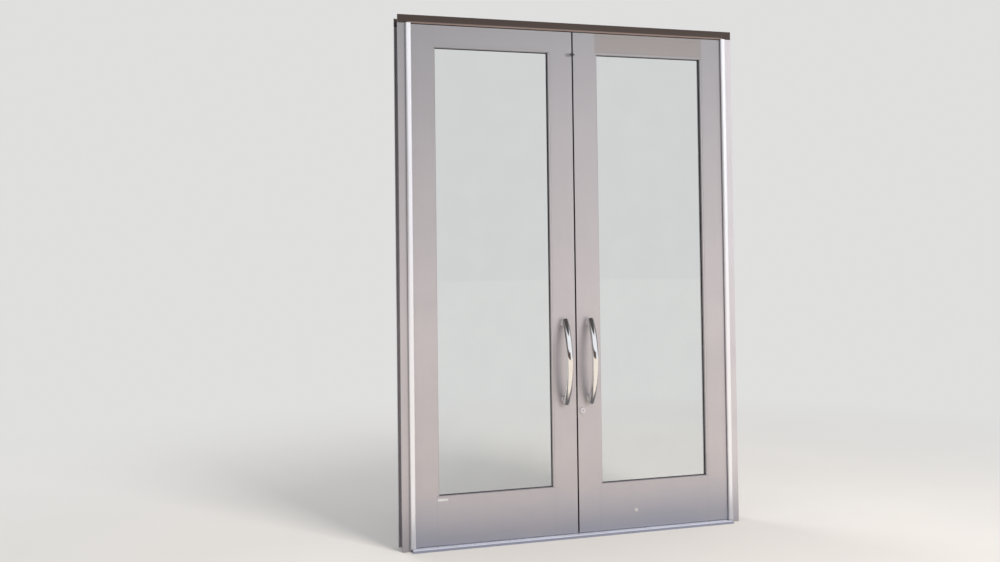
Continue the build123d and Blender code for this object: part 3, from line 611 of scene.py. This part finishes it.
# %% Helpers for finishing a piece
def tidy(piece, angle=32.0):
    """Merges doubles, turns the faces outwards and smooths all but the sharp edges."""
    choose(piece)
    bpy.ops.object.mode_set(mode="EDIT")
    bpy.ops.mesh.select_all(action="SELECT")
    bpy.ops.mesh.remove_doubles(threshold=0.002 * MM)
    bpy.ops.mesh.normals_make_consistent(inside=False)
    bpy.ops.object.mode_set(mode="OBJECT")
    bpy.ops.object.shade_smooth_by_angle(angle=math.radians(angle))
    return piece


def apply_bevel(piece, width, segments=2, angle=35.0):
    """Rounds the sharp edges with a Bevel modifier, and applies it."""
    choose(piece)
    bevel = piece.modifiers.new("round_edges", "BEVEL")
    bevel.width = width
    bevel.segments = segments
    bevel.limit_method = "ANGLE"
    bevel.angle_limit = math.radians(angle)
    bpy.ops.object.modifier_apply(modifier=bevel.name)
    return piece


def dress(piece, body, material, slot_name, *replaced):
    """Rides the piece on its body, gives it its finish and hides the CAD pieces it replaces."""
    piece.data.materials.clear()
    piece.data.materials.append(material)
    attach(piece, body)
    if replaced:
        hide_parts(*replaced)
    ends = [[round(f(v.co[i] for v in piece.data.vertices) / MM, 1) for i in range(3)] for f in (min, max)]
    print(piece.name, "box in mm:", ends, "faces:", len(piece.data.polygons))


# %% [markdown]
# ## The bow pulls
#
# A bow pull is one thick chromed bar bent to an arc, with a square-cut end that overhangs each of its two
# round posts. It could be a curve with a round bevel, but the ends of a curve are hard to chamfer. Here a
# circle is spun round the bend's own centre, the ends are filled, and a bevel takes the sharpness off them.
# The sizes are the CAD's own, so the chrome bar sits exactly where the solid one is.

# %% Bend the bar
pull_low, pull_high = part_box("left_pull")
pull_x, pull_z = abs(pull_low.x + pull_high.x) / 2, (pull_low.z + pull_high.z) / 2
face_y, inside_y = (corner.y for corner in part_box("left_meeting_stile"))
bar_radius = 17.5 * MM
reach, end_reach = 99.0 * MM, 27.5 * MM
post_half, overhang = 406.4 * MM / 2, 20.0 * MM
bar_half = post_half + overhang
rise = reach - end_reach
bend_radius = (bar_half**2 + rise**2) / (2 * rise)
bend_angle = math.asin(bar_half / bend_radius)
bend_centre = Vector((0.0, bend_radius - reach, 0.0))

clear_selection()
start = bend_centre + Vector((0.0, -math.cos(bend_angle), -math.sin(bend_angle))) * bend_radius
bpy.ops.mesh.primitive_circle_add(
    vertices=48, radius=bar_radius, location=start, rotation=(bend_angle, 0.0, 0.0)
)
bar = bpy.context.object
bpy.ops.object.mode_set(mode="EDIT")
bpy.ops.mesh.select_all(action="SELECT")
bpy.ops.mesh.spin(steps=40, angle=2 * bend_angle, center=bend_centre, axis=(1.0, 0.0, 0.0))
bpy.ops.object.mode_set(mode="OBJECT")
put(bar, Matrix.Identity(4))
print("bend radius", round(bend_radius / MM, 1), "mm, half angle", round(math.degrees(bend_angle), 1))
print("bar z", [round(f(v.co.z for v in bar.data.vertices) / MM, 1) for f in (min, max)])

# %% Close and soften its ends
end_rim = 5.0 * MM
choose(bar)
bpy.ops.object.mode_set(mode="EDIT")
for sign in SIDES.values():
    rim = pick("EDGE", lambda e: e.is_boundary and middle(e).z * sign > 0)
    bpy.ops.mesh.edge_face_add()
    bpy.ops.mesh.inset(thickness=end_rim)
print("rim edges at each end:", rim)
apply_bevel(bar, 1.6 * MM, segments=4, angle=50.0)
tidy(bar)

# %% [markdown]
# Each post is turned from round bar. It has a low foot against the stile, and a neck that runs into the
# bow. A profile spun round its axis would give it too, but the foot is so simple that it is drawn from the
# cylinder's lower face: extruded, widened and extruded again, so that it is one skin.

# %% Helpers for turned pieces
def draw_out(distance):
    """Extrudes what is selected along the piece's own z."""
    bpy.ops.mesh.extrude_region_move(TRANSFORM_OT_translate={"value": (0.0, 0.0, distance)})


def widen(factor):
    """Scales what is selected away from the piece's own z axis."""
    bpy.ops.transform.resize(value=(factor, factor, 1.0), center_override=(0.0, 0.0, 0.0))


print("turning helpers:", draw_out.__name__, widen.__name__)

# %% Turn the posts
post_radius = 14.0 * MM
foot_height, foot_flare, foot_widening = 4.0 * MM, 0.6 * MM, 1.16
inside_bar = 2.0 * MM
post_drop = bend_centre.y - math.sqrt(bend_radius**2 - post_half**2)
neck_length = -post_drop - inside_bar - foot_height
foot_z = -neck_length / 2
clear_selection()
bpy.ops.mesh.primitive_cylinder_add(vertices=48, radius=post_radius, depth=neck_length)
post = bpy.context.object
bpy.ops.object.mode_set(mode="EDIT")
pick("FACE", lambda f: f.normal.z < -0.9 and middle(f).z < foot_z + MM)
draw_out(-foot_flare)
widen(foot_widening)
draw_out(foot_flare - foot_height)
apply_bevel(post, 0.7 * MM, segments=3, angle=30.0)
tidy(post)
put(post, Matrix.Translation((0.0, 0.0, foot_height - foot_z)))
lowest, highest = (f(v.co.z for v in post.data.vertices) for f in (min, max))
print("post from", round(lowest / MM, 2), "to", round(highest / MM, 2), "mm off the stile")

# %% Put both pulls on their leaves
for side, sign in SIDES.items():
    posts = [place_at(0.0, 0.0, z, "out") for z in (-post_half, post_half)]
    both_posts = copy_to(post, posts, f"{side}_posts")
    bow = copy_to(bar, [Matrix.Identity(4)], f"{side}_bow")
    pull = join([bow, both_posts], f"{side}_bow_pull")
    put(pull, Matrix.Translation((sign * pull_x, face_y, pull_z)))
    dress(pull, f"{side}_leaf", chrome, "polished_chrome", f"{side}_pull")
delete(bar)
delete(post)

# %% [markdown]
# ## The lock's cylinder and thumbturn
#
# A mortise cylinder is a turned barrel with a tapered ring round its face. A lathe makes it from one bar,
# and so does this cell: the front face of a cylinder is widened to the ring, drawn out, narrowed, stepped
# back, and at last sunk to the bore that holds the key plug. Each step is one extrude or inset of the same
# face.

# %% Turn the cylinder and its ring
def front_face(level):
    """Picks the face that looks outwards at this level."""
    return pick("FACE", lambda f: f.normal.z > 0.9 and abs(middle(f).z - level) < 0.01 * MM)


barrel_radius, barrel_length = 14.6 * MM, 26.0 * MM
ring_radius, ring_height, ring_taper, ring_narrowing = 18.5 * MM, 5.0 * MM, 1.6 * MM, 0.93
rim_width, rim_depth = 2.2 * MM, 0.7 * MM
step_width, step_rise = 0.35 * MM, 0.45 * MM
bore_radius, bore_depth = 6.45 * MM, 18.0 * MM
shoulder = 0.02 * MM
clear_selection()
bpy.ops.mesh.primitive_cylinder_add(vertices=64, radius=barrel_radius, depth=barrel_length)
cylinder = bpy.context.object
put(cylinder, Matrix.Translation((0.0, 0.0, -barrel_length / 2)))
bpy.ops.object.mode_set(mode="EDIT")
print("front faces:", front_face(0.0))
draw_out(shoulder)
widen(ring_radius / barrel_radius)
draw_out(ring_height - ring_taper)
draw_out(ring_taper)
widen(ring_narrowing)
bpy.ops.mesh.inset(thickness=rim_width)
draw_out(-rim_depth)
bpy.ops.mesh.inset(thickness=step_width)
draw_out(step_rise)
bpy.ops.mesh.inset(thickness=ring_radius * ring_narrowing - rim_width - step_width - bore_radius)
draw_out(-bore_depth)
apply_bevel(cylinder, 0.22 * MM, segments=2, angle=30.0)
tidy(cylinder)
low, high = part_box("lock_cylinder")
lock_x, lock_z = (low.x + high.x) / 2, (low.z + high.z) / 2
put(cylinder, place_at(lock_x, face_y, lock_z, "out"))
cylinder.name = "lock_cylinder_turned"
dress(cylinder, "right_leaf", turned_steel, "satin_steel", "lock_cylinder")

# %% [markdown]
# Inside, a small cast lever throws the bolt. It stands on a stem in the middle of a round rose. The lever
# begins as a block: its upright edges are bevelled to round noses, its foot is narrowed so that a thumb and
# finger can grip it, and a last small bevel takes every sharp edge. The rose stays on the leaf while the
# lever turns in it, so it is a piece of its own.

# %% Cast the lever
lever_length, lever_thickness, lever_foot, lever_top = 38.0 * MM, 7.0 * MM, 4.0 * MM, 16.3 * MM
foot_narrowing = (0.86, 0.62, 1.0)
clear_selection()
bpy.ops.mesh.primitive_cube_add(size=1.0)
lever = bpy.context.object
lever.scale = (lever_thickness, lever_length, lever_top - lever_foot)
put(lever, Matrix.Translation((0.0, 0.0, (lever_top + lever_foot) / 2)))
bpy.ops.object.mode_set(mode="EDIT")
pick("EDGE", lambda e: abs(e.verts[0].co.z - e.verts[1].co.z) > MM)
bpy.ops.mesh.bevel(offset=3.2 * MM, segments=6, affect="EDGES")
pick("FACE", lambda f: f.normal.z < -0.9)
bpy.ops.transform.resize(value=foot_narrowing, center_override=(0.0, 0.0, 0.0))
apply_bevel(lever, 0.9 * MM, segments=3, angle=40.0)
tidy(lever, angle=40.0)
print("lever:", lever_length / MM, "by", lever_thickness / MM, "mm")

# %% Stand it on its stem
stem_radius, stem_top = 4.0 * MM, 6.0 * MM
stem_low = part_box("thumbturn")[0].y - inside_y
clear_selection()
bpy.ops.mesh.primitive_cylinder_add(vertices=32, radius=stem_radius, depth=stem_top - stem_low)
stem = bpy.context.object
put(stem, Matrix.Translation((0.0, 0.0, (stem_top + stem_low) / 2)))
apply_bevel(stem, 0.5 * MM, segments=2, angle=40.0)
tidy(stem)
thumbturn = join([lever, stem], "thumbturn_lever")
put(thumbturn, place_at(lock_x, inside_y, lock_z, "in"))
dress(thumbturn, "thumbturn", turned_steel, "satin_steel", "thumbturn")

# %% Rose round the stem
rose_radius, rose_height, rose_rim, rose_step = 15.5 * MM, 2.4 * MM, 3.0 * MM, 0.7 * MM
rose_hole, hole_depth = 4.5 * MM, 2.6 * MM
clear_selection()
bpy.ops.mesh.primitive_cylinder_add(vertices=56, radius=rose_radius, depth=rose_height)
rose = bpy.context.object
put(rose, Matrix.Translation((0.0, 0.0, rose_height / 2)))
bpy.ops.object.mode_set(mode="EDIT")
front_face(rose_height)
bpy.ops.mesh.inset(thickness=rose_rim)
draw_out(rose_step)
bpy.ops.mesh.inset(thickness=rose_radius - rose_rim - rose_hole)
draw_out(-hole_depth)
apply_bevel(rose, 0.5 * MM, segments=3, angle=30.0)
tidy(rose)
put(rose, place_at(lock_x, inside_y, lock_z, "in"))
rose.name = "thumbturn_rose"
dress(rose, "right_leaf", turned_steel, "satin_steel")

# %% [markdown]
# ## Screws
#
# Everything on these doors is held by countersunk cross-recess screws, and they are small enough that a
# step away only their shine counts. One head is modelled: a disc whose top is domed by an inset, with a
# cross cut out of it by a boolean. It is then copied to every plate, and each set is one piece.

# %% Model one screw head
def shift(distance):
    """Moves what is selected along the piece's own z."""
    bpy.ops.transform.translate(value=(0.0, 0.0, distance))


head_radius, head_depth, head_middle = 4.4 * MM, 1.6 * MM, -0.55 * MM
dome_rim, dome_rise = 1.4 * MM, 0.18 * MM
clear_selection()
bpy.ops.mesh.primitive_cylinder_add(
    vertices=24, radius=head_radius, depth=head_depth, location=(0.0, 0.0, head_middle)
)
head = bpy.context.object
bpy.ops.object.mode_set(mode="EDIT")
pick("FACE", lambda f: f.normal.z > 0.9)
bpy.ops.mesh.inset(thickness=dome_rim)
shift(dome_rise)
print("screw head:", 2 * head_radius / MM, "mm across")


# %% Cut its cross recess
def cut_out(piece, cutter, name):
    """Takes the cutter's shape out of a piece with a Boolean modifier, and removes the cutter."""
    choose(piece)
    cut = piece.modifiers.new(name, "BOOLEAN")
    cut.operation = "DIFFERENCE"
    cut.solver = "EXACT"
    cut.object = cutter
    bpy.ops.object.modifier_apply(modifier=cut.name)
    delete(cutter)


slot_length, slot_width, slot_height = 4.6 * MM, 0.9 * MM, 2.0 * MM
slot_middle, slot_taper = 0.4 * MM, 0.55
for size in ((slot_length, slot_width, slot_height), (slot_width, slot_length, slot_height)):
    clear_selection()
    bpy.ops.mesh.primitive_cube_add(size=1.0, location=(0.0, 0.0, slot_middle), scale=size)
    blade = bpy.context.object
    bpy.ops.object.mode_set(mode="EDIT")
    pick("FACE", lambda f: f.normal.z < -0.9)
    widen(slot_taper)
    cut_out(head, put(blade, Matrix.Identity(4)), "cross_recess")
put(head, Matrix.Identity(4))
tidy(head)
print("screw head:", len(head.data.polygons), "faces")


# %% Screws of the plates
def even(low, high, count):
    """Evenly spaced places from low to high."""
    return [low + (high - low) * i / (count - 1) for i in range(count)]


def set_screws(places, body, name):
    """Copies the screw head to each place, as one piece on a body."""
    dress(copy_to(head, places, name), body, zinc_steel, "satin_steel")


corner_inset, end_inset = 9.0 * MM, 8.0 * MM
for side in SIDES:
    low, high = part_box(f"{side}_push_plate")
    xs = (low.x + corner_inset, high.x - corner_inset)
    zs = (low.z + corner_inset, high.z - corner_inset)
    corners = [place_at(x, high.y, z, "in") for x in xs for z in zs]
    set_screws(corners, f"{side}_leaf", f"{side}_push_plate_screws")
edge_plates = {"lock_case": ("right_leaf", "left"), "strike_plate": ("left_leaf", "right")}
edge_plates |= {"top_bolt_case": ("left_leaf", "right"), "bottom_bolt_case": ("left_leaf", "right")}
for plate, (body, facing) in edge_plates.items():
    low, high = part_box(plate)
    x = high.x if facing == "right" else low.x
    zs = (low.z + end_inset, high.z - end_inset)
    set_screws([place_at(x, (low.y + high.y) / 2, z, facing) for z in zs], body, f"{plate}_screws")

# %% [markdown]
# The two halves of each geared hinge are screwed every 170 mm or so, one row to the jamb and one to the
# leaf. They face each other in the closed gap and only show when a leaf stands open. The threshold is
# screwed to the floor through its flutes, in front of the leaves.

# %% Screws of the hinges
leaf_line = abs(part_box("left_hinge_stile")[0].x)
hinge_plate, hinge_row_y = 3.4 * MM, -30.0 * MM
heights = even(low=0.09, high=2.67, count=16)
for side, sign in SIDES.items():
    inward, outward = ("right", "left") if side == "left" else ("left", "right")
    jamb_x, leaf_x = sign * (jamb_line - hinge_plate), sign * (leaf_line + hinge_plate)
    on_jamb = [place_at(jamb_x, hinge_row_y, z, inward) for z in heights]
    on_leaf = [place_at(leaf_x, hinge_row_y, z, outward) for z in heights]
    set_screws(on_jamb, "frame", f"{side}_jamb_hinge_screws")
    set_screws(on_leaf, f"{side}_leaf", f"{side}_leaf_hinge_screws")

# %% Screws of the threshold
flute_y, flute_top = -57.75 * MM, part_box("threshold")[1].z
across_flute = even(low=-0.78, high=0.78, count=5)
set_screws([place_at(x, flute_y, flute_top, "up") for x in across_flute], "frame", "threshold_screws")

# %% [markdown]
# The posts of each pull are drawn tight by two bolts from inside. Their wide low heads lie on the push
# plate. A head is a disc with a bevelled rim and a hexagon socket. An inset would leave a round hole, so
# the socket is a boolean with a six-sided cutter, which leaves the rim untouched.

# %% Bolt heads behind the pulls
bolt_radius, bolt_height, bolt_middle = 8.0 * MM, 2.6 * MM, 0.7 * MM
socket_radius, socket_depth, socket_middle = 2.9 * MM, 3.0 * MM, 1.7 * MM
clear_selection()
bpy.ops.mesh.primitive_cylinder_add(
    vertices=40, radius=bolt_radius, depth=bolt_height, location=(0.0, 0.0, bolt_middle)
)
bolt_head = bpy.context.object
apply_bevel(bolt_head, 0.9 * MM, segments=3)
clear_selection()
bpy.ops.mesh.primitive_cylinder_add(
    vertices=6, radius=socket_radius, depth=socket_depth, location=(0.0, 0.0, socket_middle)
)
cut_out(bolt_head, bpy.context.object, "hexagon_socket")
put(bolt_head, Matrix.Identity(4))
tidy(bolt_head)
for side, sign in SIDES.items():
    plate_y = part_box(f"{side}_push_plate")[1].y
    places = [place_at(sign * pull_x, plate_y, pull_z + z, "in") for z in (-post_half, post_half)]
    bolt_heads = copy_to(bolt_head, places, f"{side}_pull_bolt_heads")
    dress(bolt_heads, f"{side}_leaf", turned_steel, "satin_steel")
delete(bolt_head)
delete(head)

# %% [markdown]
# ## Small marks on the leaves
#
# Low on the right leaf an unused hole is closed by a snap-in plug, a shallow cap whose rim hardly stands
# proud. On the left leaf, just under the glass, sits a blank strip of pale film. The plug is a cylinder
# with an inset and lowered top, and the strip a plane with rounded corners and a little thickness. Both
# could be marks in the finish, but they stand off the metal, so they catch the light at their edges.

# %% Hole plug
plug_radius, plug_height, plug_middle = 11.0 * MM, 1.4 * MM, 0.2 * MM
plug_rim, plug_slope, plug_dip = 1.6 * MM, 0.5 * MM, 0.35 * MM
plug_x, plug_z = 0.338, 0.116
clear_selection()
bpy.ops.mesh.primitive_cylinder_add(
    vertices=40, radius=plug_radius, depth=plug_height, location=(0.0, 0.0, plug_middle)
)
plug = bpy.context.object
bpy.ops.object.mode_set(mode="EDIT")
pick("FACE", lambda f: f.normal.z > 0.9)
bpy.ops.mesh.inset(thickness=plug_rim)
bpy.ops.mesh.inset(thickness=plug_slope)
shift(-plug_dip)
apply_bevel(plug, 0.3 * MM, segments=2, angle=40.0)
put(tidy(plug), place_at(plug_x, face_y, plug_z, "out"))
plug.name = "bottom_rail_hole_plug"
NYLON, WORN_NYLON = (0.50, 0.47, 0.46, 1.0), (0.42, 0.40, 0.39, 1.0)
plug_finish = dull_finish("grey_nylon_plug", NYLON, WORN_NYLON, scale=150.0, rough=0.5, relief=0.05 * MM)
dress(plug, "right_leaf", plug_finish, "anodised_aluminium")

# %% Blank strip
strip_length, strip_width, strip_thickness = 54.0 * MM, 12.0 * MM, 0.15 * MM
strip_x, strip_z = -0.749, 0.2535
clear_selection()
bpy.ops.mesh.primitive_plane_add(size=1.0)
strip = bpy.context.object
strip.scale = (strip_length, strip_width, 1.0)
put(strip, Matrix.Identity(4))
bpy.ops.object.mode_set(mode="EDIT")
bpy.ops.mesh.select_all(action="SELECT")
bpy.ops.mesh.bevel(offset=1.5 * MM, segments=4, affect="VERTICES")
bpy.ops.object.mode_set(mode="OBJECT")
thick = strip.modifiers.new("film", "SOLIDIFY")
thick.thickness = strip_thickness
thick.offset = 1.0
bpy.ops.object.modifier_apply(modifier=thick.name)
put(tidy(strip), place_at(strip_x, face_y, strip_z, "out"))
strip.name = "blank_film_strip"
FILM, YELLOWED_FILM = (0.66, 0.67, 0.65, 1.0), (0.56, 0.56, 0.54, 1.0)
film_finish = dull_finish("pale_film", FILM, YELLOWED_FILM, scale=60.0, rough=0.45, relief=0.03 * MM)
dress(strip, "left_leaf", film_finish, "anodised_aluminium")

# %% [markdown]
# ## Floor
#
# The doors stand on a plain pale floor that fades into a backdrop of the same colour, so that no horizon
# cuts through the glass. Polished metal would be dull in such an even room, because it shows only what
# stands round it. So mirrored rays see other colours on the floor: dark close to the doors, and beyond that
# warm and bright in front and plain behind.

# %% Floor
BACKDROP = (0.74, 0.74, 0.735, 1.0)
FLOOR_PALE, FLOOR_MOTTLED = (0.76, 0.73, 0.69, 1.0), (0.74, 0.71, 0.675, 1.0)
floor_radius, fade_start, fade_end = 60.0, 2.0, 5.5
clear_selection()
bpy.ops.mesh.primitive_circle_add(
    vertices=96, radius=floor_radius, fill_type="NGON", location=(0.0, 0.0, 0.0)
)
floor = bpy.context.object
floor.name = "pale_floor"
paint = bpy.data.materials.new("pale_floor_paint")
paint.use_nodes = True
paint.node_tree.nodes.clear()
floor_place = object_place(paint)
mottle = spread(paint, cloudy(paint, floor_place, 1.2, 3.0), 0.3, 0.7)
floor_colour = mix_colours(paint, mottle, FLOOR_PALE, FLOOR_MOTTLED)
matt = add_node(paint, "BsdfDiffuse", {"Color": floor_colour, "Roughness": 0.5})
glow = add_node(paint, "Emission", {"Color": BACKDROP, "Strength": 1.0})
away = add_node(paint, "VectorMath", {0: floor_place}, operation="LENGTH").outputs["Value"]
fade = spread(paint, away, fade_start, fade_end)
plain_floor = add_node(paint, "MixShader", {0: fade, 1: matt.outputs[0], 2: glow.outputs[0]})
print("floor radius", floor_radius, "m, fades out from", fade_start, "to", fade_end, "m")

# %% What metal mirrors of the floor
MIRRORED_WARM, MIRRORED_DARK = (1.0, 0.90, 0.78, 1.0), (0.16, 0.15, 0.15, 1.0)
depth = split(paint, floor_place)["Y"]
warm_in_front = mix_colours(paint, spread(paint, depth, -0.2, 0.2), MIRRORED_WARM, BACKDROP)
off_door = spread(paint, arithmetic(paint, "ABSOLUTE", depth), 0.42, 0.75)
mirrored_colour = mix_colours(paint, off_door, MIRRORED_DARK, warm_in_front)
mirrored_floor = add_node(paint, "Emission", {"Color": mirrored_colour, "Strength": 1.0})
floor_rays = add_node(paint, "LightPath").outputs
not_through_glass = arithmetic(paint, "SUBTRACT", 1.0, floor_rays["Is Transmission Ray"])
off_metal = arithmetic(paint, "MULTIPLY", floor_rays["Is Glossy Ray"], not_through_glass)
shaders = {0: off_metal, 1: plain_floor.outputs[0], 2: mirrored_floor.outputs[0]}
add_node(paint, "OutputMaterial", {"Surface": add_node(paint, "MixShader", shaders).outputs[0]})
floor.data.materials.append(paint)
floor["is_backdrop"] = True
print("floor paint:", len(paint.node_tree.nodes), "nodes")

# %% [markdown]
# ## World
#
# The world does three jobs. It fills the shadows with a soft sky, it is the plain backdrop that the camera
# sees, also through the panes, and it is what polished metal mirrors: pale ahead, dim overhead and to the
# sides, and brown low on the left. What metal mirrors through a pane is darker still. Ray kinds tell the
# three apart, and of the rays that went through glass, the mirrored ones have a glossy depth above zero.

# %% What metal mirrors round it
PALE_AHEAD, DIM_OVERHEAD = (0.95, 0.96, 0.99, 1.0), (0.085, 0.078, 0.074, 1.0)
DIM_SIDES, BROWN_LOW_LEFT = (0.09, 0.082, 0.078, 1.0), (0.13, 0.095, 0.08, 1.0)
overhead_band, sides_band = (0.56, 0.63, 0.955, 0.985), (-0.34, -0.22, 0.40, 0.55)


def band(owner, value, start, full_from, full_to, end):
    """1 between two values and 0 beyond, with soft edges."""
    rising, falling = spread(owner, value, start, full_from), spread(owner, value, end, full_to)
    return arithmetic(owner, "MULTIPLY", rising, falling)


world = bpy.data.worlds.new("plain_studio")
bpy.context.scene.world = world
world.use_nodes = True
world.node_tree.nodes.clear()
towards = split(world, add_node(world, "TexCoord").outputs["Generated"])
overhead = band(world, towards["Z"], *overhead_band)
mirrored = mix_colours(world, overhead, PALE_AHEAD, DIM_OVERHEAD)
to_sides = arithmetic(world, "MULTIPLY", band(world, towards["Y"], *sides_band), 0.85)
mirrored = mix_colours(world, to_sides, mirrored, DIM_SIDES)
low_down, to_left = spread(world, towards["Z"], 0.19, 0.15), spread(world, towards["X"], 0.16, 0.04)
low_left = arithmetic(world, "MULTIPLY", low_down, to_left)
mirrored = mix_colours(world, low_left, mirrored, BROWN_LOW_LEFT)
print("mirrored surroundings:", len(world.node_tree.nodes), "nodes")

# %% Which ray sees what
DARK_BEHIND_PANE = (0.07, 0.068, 0.07, 1.0)
SKY_LIGHT, SKY_STRENGTH = (0.93, 0.96, 1.0, 1.0), 0.62
rays = add_node(world, "LightPath").outputs
through_glass = rays["Is Transmission Ray"]
bounced = arithmetic(world, "MINIMUM", rays["Glossy Depth"], 1.0)
behind_pane = arithmetic(world, "MULTIPLY", through_glass, bounced)
mirrored = mix_colours(world, behind_pane, mirrored, DARK_BEHIND_PANE)
in_metal = arithmetic(world, "MAXIMUM", rays["Is Glossy Ray"], behind_pane)
straight_through = arithmetic(world, "SUBTRACT", through_glass, behind_pane)
straight = arithmetic(world, "MAXIMUM", rays["Is Camera Ray"], straight_through)
fill = add_node(world, "Background", {"Color": SKY_LIGHT, "Strength": SKY_STRENGTH})
shiny = add_node(world, "Background", {"Color": mirrored, "Strength": 1.0})
plain = add_node(world, "Background", {"Color": BACKDROP, "Strength": 1.0})
lit = add_node(world, "MixShader", {0: in_metal, 1: fill.outputs[0], 2: shiny.outputs[0]})
seen = add_node(world, "MixShader", {0: straight, 1: lit.outputs[0], 2: plain.outputs[0]})
add_node(world, "OutputWorld", {"Surface": seen.outputs[0]})
print("backdrop", BACKDROP[:3], "sky strength", SKY_STRENGTH)

# %% [markdown]
# ## Lamps
#
# A soft key light stands in front and to the right, and a weaker one behind brings out the edges of the
# frame. Area lamps are chosen for their soft shadows. They are hidden from mirrored rays and from rays
# through glass, because a bright square in a chrome bar or a pane would look like a mark on it.

# %% Lamps
def add_softbox(name, place, target, size, watts, colour):
    """A square soft light that looks at a point."""
    lamp = bpy.data.lights.new(name, "AREA")
    lamp.size = size
    lamp.energy = watts
    lamp.color = colour
    holder = bpy.data.objects.new(name, lamp)
    bpy.context.scene.collection.objects.link(holder)
    holder.location = place
    holder.rotation_mode = "QUATERNION"
    holder.rotation_quaternion = (Vector(target) - Vector(place)).to_track_quat("-Z", "Y")
    holder.visible_glossy = holder.visible_transmission = False
    return holder


key = add_softbox("key_light", (2.6, -6.4, 3.4), (0.0, 0.0, 1.0), 2.8, 400.0, (1.0, 0.96, 0.92))
back = add_softbox("back_light", (-3.0, 5.0, 4.5), (0.0, 0.0, 1.2), 3.0, 160.0, (0.95, 0.97, 1.0))
print("lamps:", key.name, back.name)

# %% [markdown]
# ## Camera
#
# The camera stands at eye height, about five metres in front of the doors and two metres left of their
# middle, and is turned to the right. The numbers come from matching corners and edges of the doors. A small
# shift gives the framing with hardly any tilt, so that the stiles stay almost upright.

# %% Camera
eye = Vector((-1.8912, -5.1802, 1.5120))
yaw, pitch, roll = (math.radians(v) for v in (15.991, 1.435, -0.712))
forward = Vector((math.sin(yaw) * math.cos(pitch), math.cos(yaw) * math.cos(pitch), math.sin(pitch)))
level = Vector((math.cos(yaw), -math.sin(yaw), 0.0))
above = level.cross(forward)
right = math.cos(roll) * level + math.sin(roll) * above
upward = -math.sin(roll) * level + math.cos(roll) * above
turn = Matrix((right, upward, -forward)).transposed().to_4x4()
camera_data = bpy.data.cameras.new("eye_level_camera")
camera_data.sensor_fit = "HORIZONTAL"
camera_data.sensor_width = 36.0
camera_data.lens = 36.0
camera_data.shift_y = -0.0486
camera = bpy.data.objects.new("eye_level_camera", camera_data)
bpy.context.scene.collection.objects.link(camera)
camera.matrix_world = Matrix.Translation(eye) @ turn
bpy.context.scene.camera = camera
bpy.context.scene.view_settings.view_transform = "Standard"
print("camera", [round(v, 3) for v in eye], "looks along", [round(v, 3) for v in forward])

# %% [markdown]
# ## The box of all that shows
#
# Dressing must not change the size of the doors. The last cell finds the box of all that shows.

# %% Find the box of all that shows
low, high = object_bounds()
